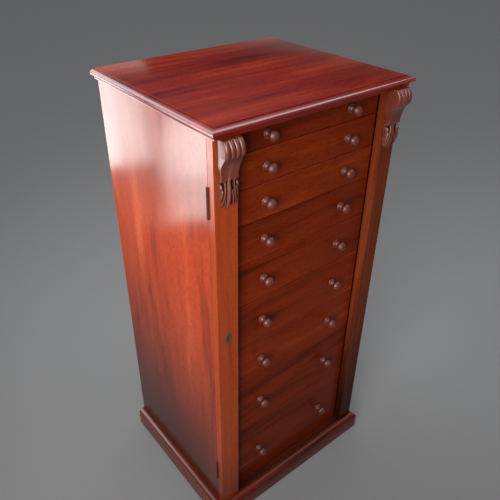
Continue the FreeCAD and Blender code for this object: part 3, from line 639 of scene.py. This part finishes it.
# Painted shade: a darker copy of the plinth's mahogany for the base rail and bottom board, where the ledge
# under the drawers lies in shadow.
SHADED_LEDGE_WOOD = Wood("shaded_ledge_mahogany", shade(38, 12, 8), shade(62, 22, 14), shade(88, 36, 22), bands=12.0,
                  shine=0.06)
LINING_OAK = Wood("drawer_oak", shade(120, 84, 50), shade(158, 118, 74), shade(186, 148, 100), bands=26.0,
                  contrast=2.2, gloss=(0.5, 0.7), rub=0.15, dirt=0.7, relief=0.0002, ripple=0.0,
                  hollow_depth=0.02)
CARCASS_PINE = Wood("carcass_pine", shade(140, 98, 56), shade(180, 138, 86), shade(206, 168, 114), bands=20.0,
                    contrast=2.2, pores=0.15, gloss=(0.55, 0.75), rub=0.15, relief=0.0002, ripple=0.0)
BACK_PINE = Wood("back_pine", shade(72, 46, 28), shade(108, 74, 46), shade(136, 98, 64), bands=20.0,
                 contrast=2.6, pores=0.2, gloss=(0.6, 0.8), rub=0.25, relief=0.0002, ripple=0.0)
OLD_BRASS = Metal("old_brass", shade(168, 132, 104), shade(106, 80, 64), 0.75, (0.3, 0.5))
DARK_BRASS = Metal("dark_brass", shade(98, 62, 46), shade(68, 38, 32), 0.85, (0.4, 0.6), 0.5)
OLD_STEEL = Metal("old_steel", shade(150, 148, 144), shade(72, 64, 58), 0.7, (0.25, 0.55))

# A wood bears the name of the record's slot that it finishes, apart from the drawers' oak
SLOT_WOODS: dict[str, Wood] = {wood.name: wood for wood in (
    TOP_WOOD, SIDE_WOOD, STILE_WOOD, DRAWER_WOOD, CARVED_WOOD, KNOB_WOOD, PLINTH_WOOD, CARCASS_PINE,
    BACK_PINE)}
SLOT_WOODS["drawer_lining"] = LINING_OAK
SLOT_METALS: dict[str, Metal] = {"aged_brass": OLD_BRASS, "hinge_steel": OLD_STEEL}
DARK_NODES = ("hinge_leaves_fixed", "hinge_leaves_moving")
# The flap takes the lighter copy of the stile's mahogany, partly painted light.
NODE_WOODS: dict[str, Wood] = {
    "locking_flap": FLAP_WOOD, "plinth_sides": PLINTH_SIDE_WOOD, "base_rail": SHADED_LEDGE_WOOD,
    "bottom_board": SHADED_LEDGE_WOOD}
UPRIGHT_SLOTS = ("side_mahogany", "stile_mahogany", "carved_mahogany")
UPRIGHT_NODES = ("back_boards", "rear_posts", "plinth_blocks")
DEEP_NODES = ("plinth_sides", "drawer_runners")
FIGURE_STEP = 0.61


def slot_of(node: str) -> str:
    """The material slot that the record gives a node."""
    return next(part["material_slot"] for part in frame["record"]["subparts"] if part["node"] == node)


def grain_of(node: str) -> Grain:
    """The axis of a node's fibres: boards run along their length, and turned knobs along their axis.

    Args:
        node: the CAD node's name.

    Returns:
        The axis.
    """
    if slot_of(node) in UPRIGHT_SLOTS or node in UPRIGHT_NODES:
        return Grain.Z
    if node in DEEP_NODES or node.endswith(("_box", "_knobs")):
        return Grain.Y
    return Grain.X


def finish_of(shop: Workshop, node: str) -> Material:
    """The finish for a node, or for the piece that stands for it.

    Args:
        shop: the shared node groups.
        node: the CAD node's name.

    Returns:
        A material of its own, so that no two boards share their figure.
    """
    slot = slot_of(node)
    if slot in SLOT_METALS:
        metal = DARK_BRASS if node in DARK_NODES else SLOT_METALS[slot]
        return metal.material(shop, node)
    seed = FIGURE_STEP * (1 + sorted(frame["nodes"]).index(node))
    return NODE_WOODS.get(node, SLOT_WOODS[slot]).material(shop, node, grain_of(node), seed)


# Sub-assemblies

@dataclass
class Assembly:
    """A sub-assembly, with the node groups that its finishes share."""

    shop: Workshop

    def stand_for(self, node: str, skin: Skin, name: str, body: str) -> None:
        """Makes the skin a piece in a node's finish, which is shown instead of the node."""
        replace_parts(skin.piece(name, body, slot_of(node), finish_of(self.shop, node)), node)


@dataclass
class TopBoard(Assembly):
    """The top: a flat field, then a quirk, ovolo, fillet and cove carried round front and sides."""

    node: str = "top_board"
    margin: float = 0.015
    quirk: float = 0.0016
    ledge: float = 0.0015
    ovolo: float = 0.007
    fillet: float = 0.0038
    cove: float = 0.008
    arris: float = 0.0004
    arris_points: int = 4

    def section(self, height: float) -> np.ndarray:
        """The moulding's section, as (out from the widest line, up from the underside).

        Args:
            height: the board's thickness.

        Returns:
            Points from the field's edge down to the underside.
        """
        low_fillet = height - self.quirk - self.ovolo - self.fillet
        return np.vstack([
            quarter((-self.margin - self.arris, height - self.arris), self.arris, self.arris,
                    self.arris_points),
            [(-self.margin, height - self.quirk)],
            quarter((self.ledge - self.margin, height - self.quirk - self.ovolo),
                    self.margin - self.ledge, self.ovolo),
            [(0.0, low_fillet)],
            quarter((-self.ledge, 0.0), -self.cove, low_fillet)])

    def build(self) -> None:
        """Carries the section round from the back left corner to the back right one, with mitres."""
        low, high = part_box(self.node)
        out, up = self.section(high[2] - low[2]).T
        left = low[0] - out
        right = high[0] + out
        front = low[1] - out
        back = np.full_like(out, high[1])
        corners = ((left, back), (left, front), (right, front), (right, back))
        sheet = np.stack([np.stack([x, y, low[2] + up], axis=1) for x, y in corners], axis=1)
        skin = Skin()
        rows = skin.grid(sheet)
        skin.cap(rows[0])
        skin.cap(rows[-1])
        skin.cap(np.concatenate([rows[:, 0], rows[::-1, -1]]))
        self.stand_for(self.node, skin, "moulded_top", "carcass")


@dataclass
class Plinth(Assembly):
    """The plinth's front and side boards with their thumb moulding, mitred at the front corners."""

    front_node: str = "plinth_front"
    side_node: str = "plinth_sides"
    thickness: float = 0.020
    ledge: float = 0.003
    step: float = 0.0016
    round_out: float = 0.017
    round_up: float = 0.014
    arris: float = 0.0005
    arris_points: int = 4

    def section(self, height: float) -> np.ndarray:
        """The boards' section, as (out from the face, up from the floor), closed round.

        Args:
            height: the plinth's height.

        Returns:
            Points round the section.
        """
        shoulder = height - self.step
        return np.vstack([
            [(-self.thickness, 0.0), (-self.thickness, height), (self.ledge - self.thickness, height)],
            quarter((-self.round_out, shoulder - self.round_up), self.round_out, self.round_up),
            quarter((-self.arris, self.arris), self.arris, -self.arris, self.arris_points)[::-1]])

    def board(self, skin: Skin, near: np.ndarray, far: np.ndarray) -> None:
        """Joins a section at one end to the same section at the other, and closes both ends."""
        for ring in skin.grid(np.stack([near, far]), around=True):
            skin.cap(ring)

    def build(self) -> None:
        """Lays the front board between its mitres, and the two side boards back from theirs."""
        low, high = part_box(self.front_node)
        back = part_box(self.side_node)[1][1]
        out, up = self.section(high[2] - low[2]).T
        left = np.stack([low[0] - out, low[1] - out, low[2] + up], axis=1)
        right = np.stack([high[0] + out, low[1] - out, low[2] + up], axis=1)
        front = Skin()
        self.board(front, left, right)
        sides = Skin()
        for mitre in (left, right):
            end = mitre.copy()
            end[:, 1] = back
            self.board(sides, mitre, end)
        for name, skin, node in (("plinth_front_board", front, self.front_node),
                                 ("plinth_side_boards", sides, self.side_node)):
            self.stand_for(node, skin, name, "carcass")


@dataclass
class Knobs(Assembly):
    """A drawer's two turned knobs: a collar bead, a slim waist and a mushroom head.

    The outlines are (out from the drawer's face, radius), in millimetres.
    """

    drawer: int
    collar: tuple[Pair, ...] = ((0.0, 10.6), (1.2, 11.5), (2.8, 11.8), (4.4, 11.3), (5.6, 10.0))
    bowl: tuple[Pair, ...] = ((6.0, 8.4), (8.6, 6.5), (12.0, 5.8), (15.2, 6.7), (17.5, 9.2), (19.0, 11.4),
                              (20.7, 12.4), (23.0, 12.2), (25.8, 10.8), (28.8, 7.8), (30.9, 4.2), (31.6, 0.0))
    spigot: float = 5.0
    solid_head: float = 12.0
    around: int = 48
    collar_points: int = 16
    bowl_points: int = 56

    def outline(self, depth: float) -> np.ndarray:
        """The turned outline from the spigot's end to the top of the dome.

        Args:
            depth: how far the spigot goes into the drawer's front, in metres.

        Returns:
            Points as (out, radius), in metres.
        """
        inside = np.array([(-depth, 0.0), (-depth, self.spigot * MM), (0.0, self.spigot * MM)])
        return np.vstack([inside, smooth_curve(np.array(self.collar) * MM, self.collar_points),
                          smooth_curve(np.array(self.bowl) * MM, self.bowl_points)])

    def build(self) -> None:
        """Turns the outline round two axes: each point is (radius * cos, -out, radius * sin)."""
        body = f"drawer_{self.drawer}"
        node = f"{body}_knobs"
        low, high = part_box(node)
        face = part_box(f"{body}_front")[0][1]
        out, radius = self.outline(high[1] - face).T
        turn = np.linspace(0, 2 * math.pi, self.around, endpoint=False)
        skin = Skin()
        for x in (low[0] + self.solid_head * MM, high[0] - self.solid_head * MM):
            ring = np.stack([x + np.outer(radius, np.cos(turn)),
                             np.repeat(face - out[:, None], self.around, axis=1),
                             (low[2] + high[2]) / 2 + np.outer(radius, np.sin(turn))], axis=-1)
            skin.grid(ring, around=True)
        self.stand_for(node, skin, f"knob_pair_{self.drawer}", body)


@dataclass(frozen=True)
class Lobe:
    """One ridge of the carved leaf, in millimetres across from the middle and down from the head."""

    root: Pair
    tip: Pair
    width: float
    height: float
    sweep: float = 1.0
    fullest: float = 0.45
    slim: float = 0.6
    least_half: float = 0.001

    def relief(self, across: np.ndarray, drop: np.ndarray) -> np.ndarray:
        """How far the ridge stands out: half an ellipse across, which swells and closes at the tip.

        The share t runs from 0 at the root to 1 at the tip. The ridge's middle is root + (tip - root) *
        t ** sweep across. Its half width grows as a sine, from the slim share to the fullest place, then
        closes as an ellipse.

        Args:
            across: distances from the corbel's middle.
            drop: distances below its head.

        Returns:
            Heights, 0 outside the ridge.
        """
        share = (drop - self.root[1]) / (self.tip[1] - self.root[1])
        inside = (share >= 0) & (share < 1)
        share = np.clip(share, 0, 1)
        middle = self.root[0] + (self.tip[0] - self.root[0]) * share ** self.sweep
        swell = self.slim + (1 - self.slim) * np.sin(np.clip(share / self.fullest, 0, 1) * math.pi / 2)
        closing = np.clip((share - self.fullest) / (1 - self.fullest), 0, 1)
        fullness = swell * np.sqrt(np.clip(1 - closing ** 2, 0, 1))
        half = np.maximum(self.width * fullness, self.least_half)
        ellipse = np.sqrt(np.clip(1 - ((across - middle) / half) ** 2, 0, 1))
        return np.where(inside, self.height * fullness * ellipse, 0.0)

    def mirrored(self) -> "Lobe":
        """The same ridge on the other side of the middle."""
        return replace(self, root=(-self.root[0], self.root[1]), tip=(-self.tip[0], self.tip[1]))


@dataclass
class Corbel(Assembly):
    """A carved corbel: four reeds over a scroll, a slim neck, and a leaf whose corners curl into eyes.

    Its front is a height field: how far each point stands out, over a grid that runs down the corbel
    and from edge to edge across it. Sizes are in millimetres.
    """

    node: str
    body: str
    scroll: tuple[Pair, ...] = ((0, 18.6), (5, 23.2), (12, 27.0), (21, 28.4), (30, 27.4), (38, 24.2),
                                (45, 19.4), (53, 15.4), (62, 13.4), (72, 12.4), (84, 11.0))
    outline: tuple[Pair, ...] = ((0, 22.5), (20, 22.5), (40, 22.5), (56, 22.4), (64, 21.0), (72, 19.6),
                                 (79, 19.8), (86, 21.6), (96, 22.5), (106, 20.6), (116, 20.9), (124, 21.4),
                                 (130, 19.4), (136, 17.6), (141, 13.0), (145, 7.0))
    ground: tuple[Pair, ...] = ((78, 3.0), (80, 4.2), (82, 5.0), (90, 5.0), (104, 4.4), (120, 3.4),
                                (136, 2.2), (145, 1.2))
    reeds: int = 4
    reed_depth: float = 5.5
    reed_end: Pair = (29.0, 37.0)
    eye_place: Pair = (19.0, 97.0)
    eye_half: Pair = (4.0, 8.8)
    eye_height: float = 9.5
    rounding: float = 0.5
    rows: int = 260
    columns: int = 145
    curve_points: int = 400
    ground_points: int = 200
    side_lobes: tuple[Lobe, ...] = (
        Lobe((-16.4, 98.0), (-21.4, 130.0), 3.4, 10.4, 1.5, 0.3),
        Lobe((-10.6, 84.0), (-17.4, 141.0), 2.7, 10.6, 2.0),
        Lobe((-8.6, 108.0), (-12.0, 146.0), 2.0, 8.6, 1.6),
        Lobe((-12.0, 88.0), (-13.5, 75.0), 2.8, 8.0))
    middle_lobes: tuple[Lobe, ...] = (
        Lobe((0.0, 82.0), (0.0, 147.0), 7.2, 8.6, 1.0, 0.5),
        Lobe((0.0, 88.0), (0.0, 73.0), 5.0, 8.2))

    def reed_relief(self, across: np.ndarray, drop: np.ndarray) -> np.ndarray:
        """Half-round reeds side by side, closed below like finger ends.

        With a the share across one reed, -1 to 1, and b the share of its closing length, 0 above it, the
        height is the reed's depth times the root of 1 - a² - b².

        Args:
            across: shares across the corbel, -1 to 1.
            drop: distances below the head.

        Returns:
            Heights over the scroll.
        """
        share = np.clip((across + 1) / 2, 0, BELOW_ONE) * self.reeds
        local = 2 * (share - np.floor(share)) - 1
        begin, end = self.reed_end
        closing = np.clip((drop - begin) / (end - begin), 0, None)
        return self.reed_depth * np.sqrt(np.clip(1 - local ** 2 - closing ** 2, 0, 1))

    def height(self, share: np.ndarray, across: np.ndarray, drop: np.ndarray) -> np.ndarray:
        """How far the front stands out: the greater of the reeded scroll and the leaf.

        The leaf is its ground, which falls away by the rounding times the share squared, plus the highest of
        its lobes and its two eyes, which are half ellipsoids. Lobes that reach above the ground's full part
        stand on ground of that height.

        Args:
            share: shares across the corbel, -1 to 1.
            across: distances from the middle.
            drop: distances below the head.

        Returns:
            Heights over the wall.
        """
        scroll = smooth_curve(np.array(self.scroll, dtype=float), self.curve_points)
        reeded = np.interp(drop, *scroll.T, right=0.0) + self.reed_relief(share, drop)
        ground = smooth_curve(np.array(self.ground, dtype=float), self.ground_points)
        lobes = [lobe.relief(across, drop) for lobe in self.middle_lobes]
        for lobe in self.side_lobes:
            lobes.append(lobe.relief(across, drop))
            lobes.append(lobe.mirrored().relief(across, drop))
        away = ((np.abs(across) - self.eye_place[0]) / self.eye_half[0]) ** 2
        away = away + ((drop - self.eye_place[1]) / self.eye_half[1]) ** 2
        lobes.append(self.eye_height * np.sqrt(np.clip(1 - away, 0, 1)))
        carved = np.max(np.stack(lobes), axis=0)
        flat = np.interp(drop, *ground.T, left=0.0)
        upper = np.interp(drop, *ground.T)
        full_drop, full_height = self.ground[2]
        rising = np.where(carved > 0, np.maximum(upper, full_height) * (drop < full_drop), 0.0)
        leaf = np.maximum(flat, rising) * (1 - self.rounding * share ** 2) + carved
        return np.maximum(reeded, leaf)

    def build(self) -> None:
        """Lays a ring at each drop: the wall's left edge, the front across, and the wall's right edge."""
        low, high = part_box(self.node)
        tall = (high[2] - low[2]) / MM
        half = smooth_curve(np.array(self.outline, dtype=float), self.curve_points)
        drop = np.linspace(0, tall, self.rows)[:, None]
        share = np.linspace(-1, 1, self.columns)[None, :]
        across = share * np.interp(drop, *half.T)
        height = self.height(share, across, drop)
        ends = np.zeros((self.rows, 1))
        x = (low[0] + high[0]) / 2 + np.hstack([across[:, :1], across, across[:, -1:]]) * MM
        y = high[1] - np.hstack([ends, height, ends]) * MM
        z = high[2] - np.repeat(drop, self.columns + 2, axis=1) * MM
        skin = Skin()
        rings = skin.grid(np.stack([x, y, z], axis=-1), around=True)
        skin.cap(rings[0])
        skin.cap(rings[-1])
        self.stand_for(self.node, skin, "carved_" + self.node, self.body)


@dataclass
class Escutcheon(Assembly):
    """The oval keyhole plate on the flap: a ring from the keyhole's edge out to the rim, in millimetres."""

    node: str = "escutcheon"
    eye_radius: float = 2.6
    eye_rise: float = 4.0
    slot_half: float = 1.4
    slot_foot: float = -4.0
    around: int = 72
    eye_points: int = 24
    section: tuple[Pair, ...] = ((0.0, 0.0), (0.0, 0.86), (0.05, 1.0), (0.5, 1.0), (0.84, 0.92), (0.95, 0.76),
                                 (1.0, 0.55), (1.0, 0.0))

    def keyhole(self) -> np.ndarray:
        """The keyhole's edge: a round eye over a straight slot.

        Returns:
            Points round the edge, from its top and to the right.
        """
        meet = math.asin(self.slot_half / self.eye_radius)
        turn = np.linspace(0, math.pi - meet, self.eye_points)
        eye = self.eye_radius * np.stack([np.sin(turn), np.cos(turn)], axis=1) + (0.0, self.eye_rise)
        half = np.vstack([eye, [(self.slot_half, self.slot_foot)]])
        return np.vstack([half, (half * (-1, 1))[:0:-1]])

    def build(self) -> None:
        """Blends the keyhole's edge into the oval by the section's share, at the section's height."""
        low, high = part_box(self.node)
        centre = [(a + b) / 2 for a, b in zip(low, high)]
        turn = np.linspace(0, 2 * math.pi, self.around, endpoint=False)
        rim = np.stack([np.sin(turn) * (high[0] - low[0]) / 2, np.cos(turn) * (high[2] - low[2]) / 2], axis=1)
        hole = spread(self.keyhole(), self.around) * MM
        share, lift = np.array(self.section + self.section[:1]).T
        flat = hole + share[:, None, None] * (rim - hole)
        y = np.repeat((high[1] - lift * (high[1] - low[1]))[:, None], self.around, axis=1)
        skin = Skin()
        skin.grid(np.stack([centre[0] + flat[..., 0], y, centre[2] + flat[..., 1]], axis=-1), around=True)
        self.stand_for(self.node, skin, "keyhole_plate", "flap")


@dataclass
class Fixings(Assembly):
    """Rows of screw or nail heads on one flat face: low domes, slotted where they are screws."""

    name: str
    body: str
    places: list[Place]
    facing: float
    metal: Metal = OLD_STEEL
    slot: str = "hinge_steel"
    radius: float = 0.0026
    dome: float = 0.0003
    sunk: float = 0.0012
    slot_half: float = 0.2
    slot_depth: float = 0.0005
    turn_step: float = 1.1
    chords: tuple[float, ...] = (0.4, 0.66, 0.86, 0.97, 1.0)
    chord_points: int = 9

    def head(self, skin: Skin, place: Place, turn: float) -> None:
        """One head, laid out in chords across its slot so that the slot's walls stay straight.

        Args:
            skin: the mesh to add to.
            place: the middle of the head on its face.
            turn: how far the slot is turned, in radians.
        """
        cut = self.slot_half
        outer = np.array(self.chords)
        across = np.concatenate([-outer[::-1], [-cut, -cut, 0, cut, cut], outer])
        level = np.zeros(len(outer))
        lowered = np.concatenate([level, [0, 1, 1, 1, 0], level])
        along = np.linspace(-1, 1, self.chord_points)[:, None] * np.sqrt(1 - across ** 2)
        wide = np.broadcast_to(across, along.shape)
        rise = self.dome * (1 - wide ** 2 - along ** 2) - self.slot_depth * lowered
        x = self.radius * (wide * math.cos(turn) - along * math.sin(turn))
        z = self.radius * (wide * math.sin(turn) + along * math.cos(turn))

        def laid(height: np.ndarray) -> np.ndarray:
            """The chords' points at these heights over the face."""
            return np.stack([place[0] + x, place[1] + self.facing * height, place[2] + z], axis=-1)

        top = laid(rise)
        foot = laid(np.full_like(rise, -self.sunk))
        skin.grid(top)
        skin.grid(foot)
        for edge in (0, -1):
            skin.grid(np.stack([top[edge], foot[edge]]))

    def build(self) -> None:
        """Makes all the heads as one piece, each slot turned a little further than the last."""
        skin = Skin()
        for number, place in enumerate(self.places):
            self.head(skin, place, number * self.turn_step)
        skin.piece(self.name, self.body, self.slot, self.metal.material(self.shop, self.name))


@dataclass
class Hardware(Assembly):
    """The small fixings: screws on hinges, lock and strike plate, pins in the escutcheon, nails behind."""

    hinge_length: float = 0.070
    screw_spread: float = 0.024
    screw_inset: float = 0.010
    stagger: float = 0.003
    corner: float = 0.006
    nail_inset: float = 0.012
    nail_rows: int = 5
    pin_inset: float = 0.003
    back_count: int = 3

    def hinge_places(self, node: str, face: float) -> list[Place]:
        """Three staggered screws on each of a node's two hinge leaves.

        Args:
            node: the leaves' node.
            face: where along Y the leaves' shown faces are.

        Returns:
            The places of the heads.
        """
        low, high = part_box(node)
        x = high[0] - self.screw_inset
        middles = (low[2] + self.hinge_length / 2, high[2] - self.hinge_length / 2)
        return [(x + self.stagger * abs(step), face, middle + step * self.screw_spread)
                for middle in middles for step in (-1, 0, 1)]

    def corner_places(self, node: str, face: float) -> list[Place]:
        """Places for a screw in each corner of a plate, with its shown face at this place along Y."""
        low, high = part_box(node)
        return [(x, face, z) for x in (low[0] + self.corner, high[0] - self.corner)
                for z in (low[2] + self.corner, high[2] - self.corner)]

    def end_places(self, node: str, face: float, inset: float) -> list[Place]:
        """Places near both ends of an upright plate, with its shown face at this place along Y."""
        low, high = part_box(node)
        return [((low[0] + high[0]) / 2, face, z) for z in (low[2] + inset, high[2] - inset)]

    def nail_places(self) -> list[Place]:
        """Even rows of nails from the foot of the back boards to their head, two in each board.

        Returns:
            The places of the heads.
        """
        low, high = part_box("back_boards")
        board = (high[0] - low[0]) / self.back_count
        columns = [low[0] + board * number + side for number in range(self.back_count)
                   for side in (self.nail_inset, board - self.nail_inset)]
        rows = np.linspace(low[2] + self.nail_inset, high[2] - self.nail_inset, self.nail_rows)
        return [(x, high[1], float(z)) for x in columns for z in rows]

    def build(self) -> None:
        """Makes each group of fixings."""
        fixed = self.hinge_places("hinge_leaves_fixed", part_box("left_side")[0][1])
        moving = self.hinge_places("hinge_leaves_moving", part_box("locking_flap")[1][1])
        lock = self.corner_places("lock_case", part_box("lock_case")[1][1])
        strike = self.end_places("strike_plate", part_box("strike_plate")[0][1], self.corner)
        pins = self.end_places("escutcheon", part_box("escutcheon")[0][1], self.pin_inset)
        for fixings in (
                Fixings(self.shop, "hinge_screws_fixed", "carcass", fixed, -1),
                Fixings(self.shop, "hinge_screws_moving", "flap", moving, 1),
                Fixings(self.shop, "lock_screws", "flap", lock, 1),
                Fixings(self.shop, "strike_screws", "carcass", strike, -1),
                Fixings(self.shop, "escutcheon_pins", "flap", pins, -1, OLD_BRASS, "aged_brass",
                        radius=0.0011, dome=0.0004, sunk=0.0006, slot_depth=0.0),
                Fixings(self.shop, "back_nails", "carcass", self.nail_places(), 1, radius=0.0022,
                        slot_depth=0.0)):
            fixings.build()


@dataclass
class PlainNodes(Assembly):
    """The CAD nodes that are shown as they are."""

    replaced: tuple[str, ...] = ("top_board", "plinth_front", "plinth_sides", "flap_corbel", "right_corbel",
                                 "escutcheon")

    def build(self) -> None:
        """Gives each of these nodes its finish."""
        for name, node in sorted(frame["nodes"].items()):
            if name in self.replaced or name.endswith("_knobs"):
                continue
            node.data.materials.clear()
            node.data.materials.append(finish_of(self.shop, name))
            LOG.info("%s: dressed as %s", name, slot_of(name))


# Light, floor and camera

@dataclass(frozen=True)
class SoftBox:
    """A soft rectangular light, whose level is the radiance that it shows at a spread of 180 degrees.

    A narrower spread sends the same power into a tighter beam.
    """

    name: str
    place: Place
    target: Place
    width: float
    height: float
    level: float
    spread: float = 180.0
    colour: Triple = (1.0, 1.0, 1.0)

    def build(self) -> None:
        """Hangs the light, facing its target."""
        lamp = bpy.data.lights.new(self.name, "AREA")
        lamp.shape = "RECTANGLE"
        lamp.size = self.width
        lamp.size_y = self.height
        lamp.energy = self.level * math.pi * self.width * self.height
        lamp.spread = math.radians(self.spread)
        lamp.color = self.colour
        hung = bpy.data.objects.new(self.name, lamp)
        towards = Vector(self.target) - Vector(self.place)
        turned = towards.to_track_quat("-Z", "Y").to_matrix().to_4x4()
        hung.matrix_world = Matrix.Translation(self.place) @ turned
        hung.visible_camera = False
        bpy.context.scene.collection.objects.link(hung)


@dataclass
class Studio:
    """The room: a pale floor, a grey surround, soft lights, and the photograph's camera."""

    eye: Place = (-0.7883, -0.9632, 1.5448)
    heading: Place = (0.52703, 0.64677, -0.55129)
    roll: float = math.radians(0.73)
    lens: float = 39.41
    sensor: float = 36.0
    floor_half: float = 12.0
    floor_roughness: float = 0.9
    floor_shine: float = 0.1
    floor_colour: Colour = shade(148, 148, 148)
    backdrop: Colour = (0.26, 0.26, 0.26, 1.0)
    backdrop_fade: Pair = (0.02, 0.22)
    wall: Colour = (0.05, 0.05, 0.05, 1.0)
    ceiling: Colour = (0.55, 0.56, 0.58, 1.0)
    ceiling_rise: Pair = (0.32, 0.8)
    lights: tuple[SoftBox, ...] = (
        SoftBox("window_far", (-1.066, 2.255, 0.36), (-0.265, 0.15, 1.1), 0.64, 0.7, 0.78, 60.0),
        SoftBox("window_near", (-1.382, 1.453, 0.42), (-0.265, 0.0, 1.1), 0.42, 0.5, 0.63, 60.0),
        SoftBox("window_side", (-1.05, 0.9, 0.48), (-0.262, -0.21, 1.12), 0.4, 0.45, 0.6, 60.0),
        SoftBox("window_high", (-1.15, 2.6, 2.45), (-0.28, 0.0, 1.8), 3.3, 2.3, 0.77, 100.0,
                (0.92, 0.97, 1.0)),
        SoftBox("window_back", (0.72, 2.83, 2.1), (-0.25, 0.2, 1.2), 0.7, 0.4, 0.8),
        SoftBox("left_panel", (-1.5, -0.9, 1.45), (-0.6, -0.2, 1.05), 0.9, 1.2, 2.3, 70.0),
        SoftBox("right_panel", (1.5, -0.75, 3.0), (0.1, -0.2, 1.0), 1.2, 1.2, 1.8),
        SoftBox("overhead", (0.2, 0.1, 3.2), (0.0, 0.0, 1.0), 1.4, 1.4, 1.4))

    def camera(self) -> None:
        """Sets the camera: its axes are the heading, level right turned by the roll, and up."""
        ahead = Vector(self.heading).normalized()
        level_right = ahead.cross(Vector((0, 0, 1))).normalized()
        level_up = level_right.cross(ahead)
        right = math.cos(self.roll) * level_right + math.sin(self.roll) * level_up
        up = math.cos(self.roll) * level_up - math.sin(self.roll) * level_right
        data = bpy.data.cameras.new("photo_camera")
        data.lens = self.lens
        data.sensor_width = self.sensor
        data.dof.use_dof = False
        held = bpy.data.objects.new("photo_camera", data)
        held.matrix_world = Matrix.Translation(self.eye) @ Matrix((right, up, -ahead)).transposed().to_4x4()
        bpy.context.scene.collection.objects.link(held)
        bpy.context.scene.camera = held

    def floor(self) -> None:
        """Lays the floor as one flat square."""
        reach = self.floor_half
        mesh = bpy.data.meshes.new("floor")
        mesh.from_pydata([(-reach, -reach, 0), (reach, -reach, 0), (reach, reach, 0), (-reach, reach, 0)], [],
                         [(0, 1, 2, 3)])
        material, wiring, shader = new_material("floor")
        wiring.feed(shader, {"Base Color": self.floor_colour, "Roughness": self.floor_roughness,
                             "Specular IOR Level": self.floor_shine})
        mesh.materials.append(material)
        laid = bpy.data.objects.new("floor", mesh)
        bpy.context.scene.collection.objects.link(laid)

    def surround(self) -> None:
        """Sets a world that fades upwards from a pale backdrop to dark walls, then to a pale ceiling."""
        world = bpy.data.worlds.new("surround")
        world.use_nodes = True
        wiring = Wiring(world.node_tree)
        direction = wiring.add("ShaderNodeTexCoord").outputs["Generated"]
        height = wiring.add("ShaderNodeSeparateXYZ", {0: direction}).outputs["Z"]
        lower = wiring.blend(wiring.spanned(height, *self.backdrop_fade), self.backdrop, self.wall)
        colour = wiring.blend(wiring.spanned(height, *self.ceiling_rise), lower, self.ceiling)
        wiring.feed(world.node_tree.nodes["Background"], {"Color": colour})
        bpy.context.scene.world = world

    def build(self) -> None:
        """Sets the surround, the lights, the floor and the camera."""
        self.surround()
        bpy.context.scene.view_settings.view_transform = "Standard"
        for light in self.lights:
            light.build()
        self.floor()
        self.camera()


def main() -> None:
    """Builds the pieces in order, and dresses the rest."""
    logging.basicConfig(level=logging.INFO, format="%(message)s")
    shop = Workshop()
    knobs = [Knobs(shop, drawer) for drawer in range(1, DRAWER_COUNT + 1)]
    corbels = [Corbel(shop, "flap_corbel", "flap"), Corbel(shop, "right_corbel", "carcass")]
    for assembly in (TopBoard(shop), Plinth(shop), *knobs, *corbels, Escutcheon(shop), Hardware(shop),
                     PlainNodes(shop)):
        assembly.build()
    Studio().build()


if __name__ == "__main__":
    main()
